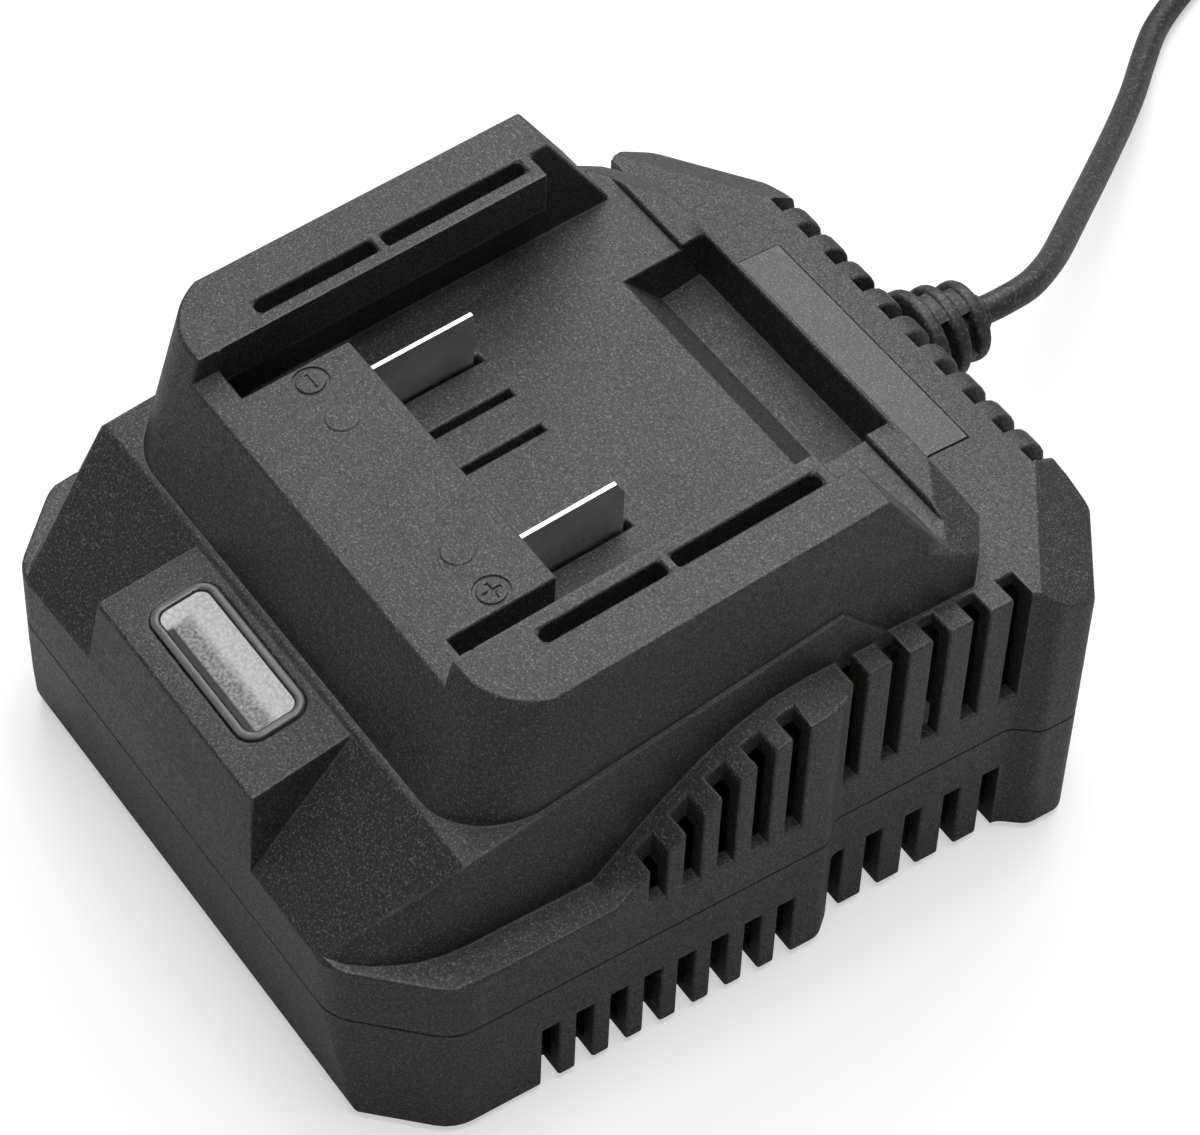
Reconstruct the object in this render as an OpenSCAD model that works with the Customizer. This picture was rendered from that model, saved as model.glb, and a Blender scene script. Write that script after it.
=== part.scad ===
// Mains battery charger for slide-on power tool battery packs.
//
// The charger stands on four rubber feet on z = 0. +Z is up, -Y is the front with
// the status window, +Y is the rear with the mains lead, and +X is to the right.
// The origin is below the middle of the housing. The battery slides in from the
// rear along two rails: the dock leans forward, so its floor falls to the front.
// Units are millimetres and degrees.

/* [Housing] */
// Width across the side walls
body_w = 106.4; // [104:0.2:112]
// Length from the front wall to the rear wall
body_l = 125.2; // [122:0.2:130]
// Height of the joint between the two housing halves
joint_z = 21.6; // [20.5:0.1:24]
// Height of the low ledge round the front
ledge_z = 31.8; // [30.8:0.1:33]
// Height of the flat rear deck
deck_z = 50.2; // [49:0.1:52]
// Wall thickness of both halves
wall = 2.6; // [2.2:0.1:2.8]
// Height of the housing bottom above the ground
foot_h = 1; // [0.6:0.1:1.4]
// Size of the 45 degree cut on the front corners
corner_cut = 12; // [10:0.5:13]
// Depth of the shallow recess in the rear half of each side wall
recess_d = 3; // [2:0.2:3.6]

/* [Dock] */
// Outer width across the two rails
rail_w = 88; // [86.5:0.1:90]
// Clear opening between the rail lips
lip_gap = 62.8; // [61:0.1:64.4]
// Width across the two undercut grooves
groove_w = 72.4; // [71:0.1:74]
// Height of the undercut grooves
groove_h = 10.4; // [9:0.1:11.4]
// Height of the rails above the dock floor
rail_h = 16.9; // [16:0.1:18]
// Height of the dock floor above the middle of the housing
floor_z = 55.06; // [54:0.1:57]
// Forward slope of the dock
dock_tilt = 6.37; // [5:0.1:7.5]
// Width of the terminal block
block_w = 51; // [50:0.2:54]
// Depth of the latch pocket
pocket_d = 7; // [5:0.1:8]
// Width of the latch pocket
pocket_w = 43.6; // [38:0.2:48]

/* [Front] */
// Slope of the plane round the foot of the dock
hood_tilt = 10.5; // [9.5:0.1:11.5]
// Height of that plane above the middle of the housing
hood_z = 54.9; // [54.2:0.1:55.4]
// Width of the block that carries the status window
lamp_w = 39.6; // [38:0.2:44]
// Width of the status window
lens_w = 27.3; // [24:0.1:28]
// Length of the status window along the slope
lens_l = 10.4; // [9:0.1:10.8]

/* [Vents] */
// Width of the vent slots
vent_w = 2.7; // [2:0.1:3]
// Pitch of the front vent slots
vent_pitch = 5.5; // [5:0.1:5.7]
// Pitch of the rear side vent slots
rear_vent_pitch = 6.75; // [6:0.05:6.9]

/* [Contacts] */
// Thickness of the contact blades
blade_t = 0.8; // [0.6:0.05:1]
// Height of the contact blades above the dock floor
blade_h = 9.4; // [8:0.1:9.8]
// Width of the contact slots
slot_w = 1.3; // [1.2:0.05:1.6]

/* [Mains lead] */
// Diameter of the mains lead
cord_d = 4.4; // [4:0.1:5]

/* [Hidden] */
$fn = 48;

eps = 0.01;
hw = body_w / 2;
// Places along Y are measured from a line below the middle of the dock, and the
// middle of the housing lies behind it.
mid_y = 1.4;
front_y = mid_y - body_l / 2;
rear_y = mid_y + body_l / 2;
over = 1;

// Clearances.
slip = 0.1;
screw_play = 0.05;

// Side wall recess: where it starts and ends along the wall, and its end slopes.
recess_y0 = 10.6;
recess_y1 = rear_y - 16.5;
recess_run = 3.6;
// Rear corner cut, across and along.
rear_cut_x = 14.5;
rear_cut_y = 10.5;
// How much each bend of the outline moves along a wall per millimetre of inset.
front_shift = sqrt(2) - 1;
rear_shift_x = 0.325;
rear_shift_y = 0.509;
recess_shift = 0.54;
// Rounding of the upright edges at the front corners and at the other bends.
front_r = 7;
bend_r = 3;
bend_steps = 4;
// How far the lower half leans in at each height above its bottom.
lean = [[0, 2.4], [2.6, 1.6]];
// Sloping cut of the deck at its two rear corners.
facet_x = hw - 4;
facet_y = rear_y - 17.5;
facet_slope = 33;

// Ramp from the ledge up to the rear deck.
ramp_y0 = -24.4;
ramp_y1 = 10;
ramp_steps = 6;
// Rounding of the rear top edge, as a chain of flats.
edge_r = 4.6;
edge_steps = 5;

// Hood: the raised middle that carries the dock.
hood_w = body_w - 11.6;
hood_foot_y = front_y;
hood_ridge_y = -43.8;
hood_rear_y = 16.1;
hood_draft = 2;
// Rounding of the hood's foot at the front corners.
hood_foot_r = 22;
hood_foot_steps = 6;

// Block with the status window.
lamp_top_y = front_y + 1.4;
lamp_rear_y = hood_ridge_y - 0.5;
lamp_draft = 2;
lens_x = -0.75;
lens_y = -50.9;
lens_r = 3;
lens_t = 1.6;
lens_proud = 0.4;
lens_rim = 1.4;
diffuser_t = 3.4;
led_size = 3;
led_t = 1.2;
led_board_t = 1.2;
led_xs = [-8, -2.7, 2.7, 8];
ribbon_t = 0.6;
ribbon_y = -47.2;

// Dock.
dock_front_y = -42.8;
dock_rake = 17.1;
dock_corner_r = 11.4;
dock_draft = 1.4;
strip_y1 = -33.1;
block_y1 = -16.3;
block_drop = 3.9;
lip_y1 = 19.8;
rail_y1 = 23;
gusset_y1 = 34;
riser_y = 36.2;
riser_h = 1;
dock_rear_y = 40.7;
dock_foot_y = 46;
dock_corner_x = 35.5;
dock_corner_y = 38.2;
pocket_y0 = 26.4;
pocket_y1 = 40;
rail_slot_x = 34.95;
rail_slot_w = 2.5;
rail_slots = [[-25.3, -6.3], [-4.8, 18]];
contact_xs = [-22.2, -14.35, -6.4, 14.6];
contact_y0 = -29;
contact_y1 = 2.9;
mark_x = 22.3;
mark_y = -24.3;
mark_r = 2.6;
mark_line = 0.5;
mark_depth = 0.3;

// Label plate on the rear deck.
label_w = 45.2;
label_l = 7.5;
label_y = 50.6;
label_t = 0.7;
label_proud = 0.1;

// Contact carrier and blades.
carrier_x = -3.8;
carrier_w = 50;
carrier_y0 = -31;
carrier_y1 = 4;
carrier_z = 43;
blade_y0 = -27;
blade_y1 = 1.6;
blade_nick = 2.2;
tab_y0 = -20;
tab_y1 = -14;
tab_z = 38;
lead_y = (tab_y0 + tab_y1) / 2;
lead_r = 1.1;

// Vents: rear edge of the last slot of each row, and the number of slots.
front_vent_y = 5.6;
front_vents = 5;
front_vent_z = 29;
rear_vent_y = rear_y - 19.9;
rear_vents = 5;
low_vent_y = 5.8;
low_vents = 8;
low_vent_z = 13.1;
low_rear_vent_y = rear_y - 20.8;
low_rear_vent_z = 13.6;
edge_vents = 10;
edge_vent_pitch = 6.6;
edge_vent_x0 = -29.7;
edge_vent_z = 44.6;
edge_vent_y = rear_y - edge_r - 0.3;
side_vent_d = 4.2;

// Screws and posts.
screw_x = hw - 9.2;
screw_y0 = front_y + 15.2;
screw_rear_x = hw - 13.2;
screw_y1 = rear_y - 13;
screw_places = [[-screw_x, screw_y0], [screw_x, screw_y0],
    [-screw_rear_x, screw_y1], [screw_rear_x, screw_y1]];
screw_r = 1.5;
screw_head_r = 3;
screw_head_h = 2.4;
screw_seat_z = 9;
screw_bite = 6;
post_r = 4.6;
boss_r = 4.2;
foot_r = 5;
foot_sink = 0.8;
foot_x = 30;
foot_y = body_l / 2 - 12.6;

// Main board.
board_z = 8;
board_t = 1.6;
board_top = board_z + board_t;
board_w = body_w - 28.8;
board_y0 = front_y + 9.2;
board_y1 = rear_y - 17.5;
board_screw_x = hw - 19.2;
board_screw_y0 = -46;
board_screw_y1 = 41;
board_screw_places = [[-board_screw_x, board_screw_y0], [board_screw_x, board_screw_y0],
    [-board_screw_x, board_screw_y1], [board_screw_x, board_screw_y1]];
standoff_r = 3;
board_screw_r = 1;
board_screw_head_r = 2.5;
board_screw_head_h = 1.6;
board_screw_bite = 3.4;
floor_top = foot_h + wall;
fuse_l = 12;
fuse_x0 = 6 - board_screw_x;
fuse_y = board_y1 - 3.3;

// Transformer.
core_x = -4;
core_y = 12;
core_w = 36;
core_d = 12;
core_h = 30;
core_web = 5;
core_leg = 10;
winding_w = core_w - 12.4;
winding_d = 24;

// Lead entry in the rear wall.
exit_x = -6;
exit_z = 37;
cord_r = cord_d / 2;
relief_neck_r = 5;
relief_flange_r = 6.2;
relief_flange_t = 2.5;
relief_y1 = 80;
relief_ribs_y = 66.4;
relief_ribs_r = [8.3, 7.3, 6.3];
relief_rib_w = 2.6;
relief_pitch = 4.3;
relief_core_r = 4.4;
saddle_w = 20;
saddle_y0 = 50;
saddle_y1 = 55;
clamp_t = 4;
clamp_screw_x = 6.5;
clamp_screw_r = 1.2;
clamp_head_r = 2.4;
clamp_head_h = 1.6;
inner_cord_y0 = 44;
input_lead_y = 42;
input_lead_r = 0.8;
input_lead_x = 1.15;

// Free lead: its route from the strain relief to the coil.
route = [[-6, 80, 37], [-6.1, 84, 36.9], [-7.4, 90, 35.9], [-10.2, 95.5, 34.2],
    [-13.9, 101, 32], [-19.4, 108, 28.6], [-25, 115, 25], [-31, 122.5, 21.1],
    [-37, 130, 17.4], [-43, 137.5, 13.9], [-49, 145, 10.7], [-56, 153.5, 7.5],
    [-63, 161.5, 4.9], [-69.5, 169.5, 3.3], [-74.2, 177.6, 2.5], [-77.6, 185.4, 2.2],
    [-79.4, 193, 2.2]];
coil_x = -114.6;
coil_y = 211.2;
coil_turns_out = 5;
coil_turns_up = 2;
coil_mean_r = 26.4;
coil_half = coil_turns_out * cord_d / 2;
coil_r1 = coil_mean_r + coil_half;
coil_r0 = coil_mean_r - coil_half;
coil_h = coil_turns_up * cord_d;
tail_x = coil_x - coil_r1 + cord_r;
tail_y1 = coil_y - 18.2;
plug_relief_l = 20;
plug_relief_y1 = coil_y - 26;
plug_y1 = plug_relief_y1 - plug_relief_l;
plug_l = 30;
plug_w = 24;
plug_h = 15;
// The plug keeps its full size along the grip, then tapers over a shoulder to a neck.
plug_grip_l = 12.4;
plug_shoulder_l = 21.2;
plug_shoulder_w = 18.6;
plug_shoulder_h = 12.2;
plug_neck_w = 9.6;
plug_neck_h = 9;
pin_l = 16;
pin_w = 6.3;
pin_t = 1.5;
pin_gap = 12.7;

black = [0.13, 0.13, 0.13];
dark = [0.2, 0.2, 0.2];
steel = [0.72, 0.72, 0.72];
board_green = [0.1, 0.3, 0.18];

// Heights of the sloping planes at a place along Y.
function floor_at(y) = floor_z + y * tan(dock_tilt);
function rail_at(y) = floor_at(y) + rail_h;
function block_at(y) = rail_at(y) - block_drop;
function hood_at(y) = hood_z + y * tan(hood_tilt);
function ramp_y(i) = ramp_y0 + (ramp_y1 - ramp_y0) * i / ramp_steps;
function ramp_z(i) = ledge_z + (deck_z - ledge_z) * sin(90 * i / ramp_steps);

// Draws a (y, z) outline across the part, centred on x = 0.
module along_x(width) {
    rotate([90, 0, 90])
        linear_extrude(height = width, center = true)
            children();
}

// Draws an (x, z) outline along the part.
module along_y(length) {
    rotate([90, 0, 0])
        linear_extrude(height = length, center = true)
            children();
}

// Places a piece on the sloping plane of the hood, of the block or of the floor.
module on_hood(x, y) {
    translate([x, y, hood_at(y)])
        rotate([hood_tilt, 0, 0])
            children();
}

module on_block(x, y) {
    translate([x, y, block_at(y)])
        rotate([dock_tilt, 0, 0])
            children();
}

module both_sides() {
    children();
    mirror([1, 0, 0])
        children();
}

// Points of a round of radius r at the bend p between its neighbours a and b.
function bend(a, p, b, r) =
    let (u = (a - p) / norm(a - p), w = (b - p) / norm(b - p), half = acos(u * w) / 2,
        c = p + r / sin(half) * (u + w) / norm(u + w),
        s = p + u * r / tan(half) - c, e = p + w * r / tan(half) - c,
        a0 = atan2(s[1], s[0]), turn = (atan2(e[1], e[0]) - a0 + 540) % 360 - 180)
    [for (i = [0 : bend_steps]) c + r * [cos(a0 + turn * i / bend_steps), sin(a0 + turn * i / bend_steps)]];

// Outline of the housing seen from above, moved inwards by the inset. Only the
// outer one has rounded bends.
module outline(inset = 0) {
    half = [
        [hw - corner_cut - front_shift * inset, front_y + inset],
        [hw - inset, front_y + corner_cut + front_shift * inset],
        [hw - inset, recess_y0 - recess_shift * inset],
        [hw - recess_d - inset, recess_y0 + recess_run - recess_shift * inset],
        [hw - recess_d - inset, recess_y1 - recess_run + recess_shift * inset],
        [hw - inset, recess_y1 + recess_shift * inset],
        [hw - inset, rear_y - rear_cut_y - rear_shift_y * inset],
        [hw - rear_cut_x - rear_shift_x * inset, rear_y - inset]];
    radii = [front_r, front_r, bend_r, bend_r, bend_r, bend_r, bend_r, bend_r];
    sharp = concat(half, [for (i = [len(half) - 1 : -1 : 0]) [-half[i][0], half[i][1]]]);
    n = len(sharp);
    if (inset > 0)
        polygon(sharp);
    else
        polygon([for (i = [0 : n - 1], p = bend(sharp[(i + n - 1) % n], sharp[i], sharp[(i + 1) % n],
            radii[min(i, n - 1 - i)])) p]);
}

module outline_block(inset, z0, z1) {
    translate([0, 0, z0])
        linear_extrude(height = z1 - z0)
            outline(inset);
}

module rounded_plate(size, r, t) {
    linear_extrude(height = t) {
        square([size[0] - 2 * r, size[1]], center = true);
        square([size[0], size[1] - 2 * r], center = true);
        for (sx = [-1, 1], sy = [-1, 1])
            translate([sx * (size[0] / 2 - r), sy * (size[1] / 2 - r)])
                circle(r = r);
    }
}

// Side profile of the rear body with its ramp, lowered and shortened by the inset.
module rear_profile(inset = 0) {
    drop = inset * 1.25;
    ramp = [for (i = [0 : ramp_steps])
        [ramp_y(i) + inset * (1 - i / ramp_steps), ramp_z(i) - (i == 0 || i == ramp_steps ? inset : drop)]];
    edge = [for (i = [0 : edge_steps])
        [rear_y - inset - edge_r * (1 - sin(90 * i / edge_steps)),
            deck_z - inset - edge_r * (1 - cos(90 * i / edge_steps))]];
    polygon(concat([[ramp[0][0], joint_z - (inset > 0 ? over : 0)]], ramp, edge,
        [[rear_y - inset, joint_z - (inset > 0 ? over : 0)]]));
}

// Foot of the hood: straight sides and front, joined by large rounds at the corners.
function hood_foot(inset, slope_in) =
    let (x = hood_w / 2 - inset, r = hood_foot_r - inset, y = hood_foot_y + slope_in,
        end = asin(min(1, (hood_ridge_y - y) / r)),
        arc = [for (i = [0 : hood_foot_steps]) let (a = end * i / hood_foot_steps)
            [x - r * (1 - cos(a)), hood_ridge_y - r * sin(a)]])
    concat(arc, [for (i = [hood_foot_steps : -1 : 0]) [-arc[i][0], arc[i][1]]]);

// Raised middle. In front of its ridge it falls to the foot like a hipped roof.
module hood_solid(inset = 0) {
    rise = hood_at(hood_ridge_y) - ledge_z;
    run = hood_ridge_y - hood_foot_y;
    slope_in = inset * sqrt(rise * rise + run * run) / rise;
    low = ledge_z - wall - over;
    ridge_x = hood_w / 2 - hood_draft * rise / (deck_z + 10 - ledge_z) - inset;
    ridge_z = hood_at(hood_ridge_y) - inset;
    join_y = hood_ridge_y + (inset > 0 ? slope_in - inset * run / rise : 0);
    hull() {
        translate([0, 0, low])
            linear_extrude(height = ledge_z - low)
                polygon(hood_foot(inset, slope_in));
        translate([-ridge_x, join_y, low])
            cube([2 * ridge_x, eps, ridge_z - low]);
    }
    intersection() {
        along_x(body_w)
            polygon([[join_y, low], [join_y, ridge_z],
                [hood_rear_y - inset / 2, hood_at(hood_rear_y) - inset],
                [hood_rear_y + hood_at(hood_rear_y) - deck_z - inset / 2, deck_z - inset],
                [hood_rear_y + hood_at(hood_rear_y) - deck_z - inset / 2, low]]);
        along_y(2 * body_l)
            polygon([[-hood_w / 2 + inset, low], [hood_w / 2 - inset, low],
                [hood_w / 2 - inset, ledge_z], [hood_w / 2 - inset - hood_draft, deck_z + 10],
                [-hood_w / 2 + inset + hood_draft, deck_z + 10], [-hood_w / 2 + inset, ledge_z]]);
    }
}

// Space that the sloping rear corners of the deck leave free.
module facet_cuts(inset = 0) {
    turn = atan2(rear_cut_x, rear_cut_y);
    both_sides()
        translate([facet_x, facet_y, deck_z])
            rotate([0, 0, turn])
                rotate([0, facet_slope, 0])
                    translate([-20, -40, -inset])
                        cube([50, 80, 30]);
}

module lamp_block() {
    low = ledge_z - over;
    intersection() {
        along_x(body_w)
            polygon([[hood_foot_y, low], [hood_foot_y, ledge_z], [lamp_top_y, hood_at(lamp_top_y)],
                [lamp_rear_y, hood_at(lamp_rear_y)], [lamp_rear_y, low]]);
        along_y(2 * body_l)
            polygon([[-lamp_w / 2 - lamp_draft, low], [lamp_w / 2 + lamp_draft, low],
                [lamp_w / 2, hood_at(lamp_rear_y)], [-lamp_w / 2, hood_at(lamp_rear_y)]]);
    }
}

module lamp_hollow() {
    along_x(lamp_w - 2 * wall)
        polygon([[lamp_top_y + wall, joint_z], [lamp_top_y + wall, hood_at(lamp_top_y + wall) - wall],
            [hood_ridge_y + 4, hood_at(hood_ridge_y + 4) - wall], [hood_ridge_y + 4, joint_z]]);
}

// Outside of the dock, with a raked front and rounded front corners.
module dock_solid() {
    low = ledge_z + 6;
    half = rail_w / 2 + dock_draft;
    intersection() {
        translate([0, dock_front_y, hood_at(dock_front_y)])
            rotate([-dock_rake, 0, 0])
                translate([0, 0, -20])
                    linear_extrude(height = 70) {
                        translate([-half + dock_corner_r, 0])
                            square([2 * (half - dock_corner_r), body_l]);
                        translate([-half, dock_corner_r])
                            square([2 * half, body_l]);
                        for (s = [-1, 1])
                            translate([s * (half - dock_corner_r), dock_corner_r])
                                circle(r = dock_corner_r, $fn = 64);
                    }
        along_x(body_w)
            polygon([[front_y, low], [front_y, rail_at(front_y)], [rail_y1, rail_at(rail_y1)],
                [gusset_y1, floor_at(gusset_y1)], [riser_y, floor_at(riser_y)],
                [riser_y, floor_at(riser_y) + riser_h],
                [dock_rear_y, floor_at(dock_rear_y) + riser_h], [dock_foot_y, deck_z],
                [dock_foot_y, low]]);
        along_y(2 * body_l)
            polygon([[-half, low], [half, low], [half, hood_at(dock_front_y)],
                [rail_w / 2, rail_at(rail_y1)], [-rail_w / 2, rail_at(rail_y1)],
                [-half, hood_at(dock_front_y)]]);
        linear_extrude(height = 100)
            polygon([[-half, front_y], [half, front_y], [half, dock_corner_y],
                [dock_corner_x, dock_foot_y], [-dock_corner_x, dock_foot_y], [-half, dock_corner_y]]);
    }
}

// Space of the dock above its floor, from a place along Y to the rear.
module over_floor(y0) {
    polygon([[y0, floor_at(y0)], [riser_y, floor_at(riser_y)],
        [riser_y, floor_at(riser_y) + riser_h], [rear_y, floor_at(rear_y) + riser_h],
        [rear_y, floor_at(rear_y) + 40], [y0, floor_at(y0) + 40]]);
}

module dock_cuts() {
    side_w = (lip_gap - block_w) / 2;
    groove_in = block_w / 2;
    groove_side = groove_w / 2 - groove_in;
    along_x(lip_gap)
        over_floor(block_y1);
    along_x(groove_w)
        over_floor(lip_y1);
    along_x(lip_gap)
        polygon([[front_y, block_at(front_y)], [block_y1 + over, block_at(block_y1 + over)],
            [block_y1 + over, block_at(block_y1) + 40], [front_y, block_at(front_y) + 40]]);
    both_sides() {
        translate([block_w / 2 + side_w / 2, 0, 0])
            along_x(side_w + eps)
                polygon([[strip_y1, floor_at(strip_y1)], [block_y1 + over, floor_at(block_y1 + over)],
                    [block_y1 + over, floor_at(block_y1) + 40], [strip_y1, floor_at(strip_y1) + 40]]);
        translate([groove_in + groove_side / 2, 0, 0])
            along_x(groove_side)
                polygon([[strip_y1, floor_at(strip_y1)], [lip_y1 + over, floor_at(lip_y1 + over)],
                    [lip_y1 + over, floor_at(lip_y1 + over) + groove_h],
                    [strip_y1, floor_at(strip_y1) + groove_h]]);
        for (s = rail_slots)
            translate([rail_slot_x, 0, 0])
                along_x(rail_slot_w)
                    polygon([[s[0], floor_at(s[0]) + groove_h - over],
                        [s[1], floor_at(s[1]) + groove_h - over],
                        [s[1], rail_at(s[1]) + over], [s[0], rail_at(s[0]) + over]]);
    }
    along_x(pocket_w)
        polygon([[pocket_y0, floor_at(pocket_y0)], [pocket_y0 + pocket_d, floor_at(pocket_y0) - pocket_d],
            [pocket_y1, floor_at(pocket_y1) - pocket_d], [pocket_y1, floor_at(pocket_y1) + 10],
            [pocket_y0, floor_at(pocket_y0) + 10]]);
    for (x = contact_xs)
        translate([x, 0, 0])
            along_x(slot_w)
                polygon([[contact_y0, carrier_z], [contact_y1, carrier_z],
                    [contact_y1, floor_at(contact_y1) + over],
                    [contact_y1, floor_at(contact_y1) + blade_h + 0.4],
                    [contact_y0, floor_at(contact_y0) + blade_h + 0.4]]);
    for (s = [-1, 1])
        on_block(s * mark_x, mark_y)
            translate([0, 0, -mark_depth])
                terminal_mark(s > 0);
}

// A ring with a plus or a minus sign inside it.
module terminal_mark(plus) {
    linear_extrude(height = mark_depth + over) {
        difference() {
            circle(r = mark_r);
            circle(r = mark_r - mark_line);
        }
        square([mark_r * 1.1, mark_line], center = true);
        if (plus)
            square([mark_line, mark_r * 1.1], center = true);
    }
}

module dock_hollow() {
    inner = rail_w / 2 - wall - 0.5;
    along_x(2 * inner)
        polygon([[dock_front_y + 5, joint_z], [dock_front_y + 5, floor_at(dock_front_y + 5) - wall],
            [pocket_y0 - wall, floor_at(pocket_y0 - wall) - wall],
            [pocket_y0 + pocket_d - wall, floor_at(pocket_y0) - pocket_d - wall],
            [dock_foot_y - 2 * wall, floor_at(pocket_y1) - pocket_d - wall],
            [dock_foot_y - 2 * wall, joint_z]]);
    along_x(block_w - 2 * wall)
        polygon([[dock_front_y + 3.4, hood_at(dock_front_y) - wall],
            [strip_y1 - 2.2, block_at(strip_y1) - wall],
            [block_y1 - wall, block_at(block_y1) - wall],
            [block_y1 - wall, hood_at(dock_front_y) - wall]]);
    both_sides()
        translate([(groove_w / 2 + rail_w / 2) / 2, 0, 0])
            along_x((rail_w - groove_w) / 2 - 2 * wall)
                polygon([[-28, floor_z - 12], [-28, rail_at(-28) - wall],
                    [rail_y1 - wall, rail_at(rail_y1 - wall) - wall],
                    [rail_y1 + 3, floor_at(rail_y1)], [rail_y1 + 3, floor_z - 12]]);
}

// One row of side vents, for both sides. The last slot ends at y_last.
module side_vents(count, pitch, y_last, z0, z1, depth) {
    both_sides()
        for (i = [0 : count - 1])
            translate([hw - depth, y_last - vent_w - i * pitch, z0])
                cube([depth + over, vent_w, z1 - z0]);
}

module edge_vents_cut() {
    for (i = [0 : edge_vents - 1])
        translate([edge_vent_x0 + i * edge_vent_pitch - vent_w / 2, edge_vent_y, edge_vent_z])
            cube([vent_w, rear_y - edge_vent_y + over, deck_z - edge_vent_z + over]);
}

module upper_housing() {
    color(black)
        difference() {
            union() {
                difference() {
                    union() {
                        outline_block(0, joint_z, ledge_z);
                        intersection() {
                            outline_block(0, joint_z, deck_z);
                            along_x(body_w)
                                rear_profile();
                        }
                        hood_solid();
                        lamp_block();
                        dock_solid();
                    }
                    outline_block(wall, joint_z - over, ledge_z - wall);
                    difference() {
                        intersection() {
                            outline_block(wall, joint_z - over, deck_z);
                            along_x(body_w)
                                rear_profile(wall);
                        }
                        facet_cuts(wall);
                    }
                    hood_solid(wall);
                    lamp_hollow();
                    dock_hollow();
                }
                for (p = screw_places)
                    translate([p[0], p[1], joint_z])
                        cylinder(r = boss_r, h = (p[1] < 0 ? ledge_z : deck_z) - wall - joint_z + over);
                both_sides()
                    on_hood(lamp_w / 2 - wall - 1.3, lens_y)
                        translate([-1.3, -4, -lens_t + lens_proud - diffuser_t - led_t])
                            cube([2.7, 8, diffuser_t + led_t]);
                translate([exit_x - saddle_w / 2, saddle_y0, exit_z])
                    cube([saddle_w, saddle_y1 - saddle_y0, deck_z - wall - exit_z + over]);
            }
            dock_cuts();
            facet_cuts();
            side_vents(front_vents, vent_pitch, front_vent_y, front_vent_z, deck_z + over, side_vent_d);
            side_vents(rear_vents, rear_vent_pitch, rear_vent_y, front_vent_z, deck_z + over,
                recess_d + side_vent_d);
            edge_vents_cut();
            on_hood(lens_x, lens_y) {
                translate([0, 0, -lens_t + lens_proud])
                    rounded_plate([lens_w + 2 * slip, lens_l + 2 * slip], lens_r + slip, lens_t + over);
                translate([0, 0, -10])
                    rounded_plate([lens_w - 2 * lens_rim, lens_l - 2 * lens_rim], lens_r - lens_rim, 12);
            }
            translate([-label_w / 2 - slip, label_y - label_l / 2 - slip, deck_z + label_proud - label_t])
                cube([label_w + 2 * slip, label_l + 2 * slip, label_t + over]);
            for (p = screw_places)
                translate([p[0], p[1], joint_z - over])
                    cylinder(r = screw_r + screw_play, h = screw_bite + over + 0.5);
            translate([exit_x, 0, exit_z])
                rotate([-90, 0, 0]) {
                    translate([0, 0, rear_y - wall - over])
                        cylinder(r = relief_neck_r + slip, h = wall + 2 * over);
                    translate([0, 0, saddle_y0 - over])
                        cylinder(r = cord_r + screw_play, h = saddle_y1 - saddle_y0 + 2 * over);
                }
            for (s = [-1, 1])
                translate([exit_x + s * clamp_screw_x, (saddle_y0 + saddle_y1) / 2, exit_z - over])
                    cylinder(r = clamp_screw_r + screw_play, h = 7);
        }
}

// A block whose side at this reach in this direction leans in towards the bottom.
module leaning_side(turn, reach) {
    far = 2 * body_l;
    rotate([0, 0, turn])
        rotate([90, 0, 0])
            linear_extrude(height = far, center = true)
                polygon(concat([[-far, foot_h]], [for (p = lean) [reach - p[1], foot_h + p[0]]],
                    [[reach, joint_z], [-far, joint_z]]));
}

module lower_housing() {
    rear_turn = atan2(rear_cut_x, rear_cut_y);
    rear_reach = [cos(rear_turn), sin(rear_turn)] * [hw - rear_cut_x, rear_y];

    color(black)
        difference() {
            union() {
                difference() {
                    intersection() {
                        outline_block(0, foot_h, joint_z);
                        leaning_side(-90, -front_y);
                        leaning_side(90, rear_y);
                        both_sides() {
                            leaning_side(0, hw);
                            leaning_side(-45, (hw - corner_cut - front_y) / sqrt(2));
                            leaning_side(rear_turn, rear_reach);
                        }
                    }
                    outline_block(wall, floor_top, joint_z + over);
                }
                for (p = screw_places)
                    translate([p[0], p[1], foot_h])
                        cylinder(r = post_r, h = joint_z - foot_h);
                for (p = board_screw_places)
                    translate([p[0], p[1], foot_h])
                        cylinder(r = standoff_r, h = board_z - foot_h);
            }
            side_vents(low_vents, vent_pitch, low_vent_y, foot_h - over, low_vent_z, wall + 1.2);
            side_vents(rear_vents, rear_vent_pitch, low_rear_vent_y, foot_h - over, low_rear_vent_z,
                wall + recess_d + 1.2);
            for (p = screw_places)
                translate([p[0], p[1], foot_h - over]) {
                    cylinder(r = screw_head_r + 2 * slip, h = screw_seat_z - foot_h + over);
                    cylinder(r = screw_r + slip, h = joint_z);
                }
            for (p = board_screw_places)
                translate([p[0], p[1], board_z - board_screw_bite - 0.5])
                    cylinder(r = board_screw_r + screw_play, h = board_screw_bite + over);
            for (sx = [-1, 1], sy = [-1, 1])
                translate([sx * foot_x, sy * foot_y, foot_h - over])
                    cylinder(r = foot_r + 3 * slip, h = foot_sink + over);
        }
}

module rubber_feet() {
    color(dark)
        for (sx = [-1, 1], sy = [-1, 1])
            translate([sx * foot_x, sy * foot_y, 0])
                cylinder(r = foot_r, h = foot_h + foot_sink);
}

// A screw with its head down: z = 0 is the face under the head.
module screw_up(r, head_r, head_h, length) {
    translate([0, 0, -head_h])
        cylinder(r = head_r, h = head_h);
    translate([0, 0, -eps])
        cylinder(r = r, h = length + eps);
}

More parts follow.
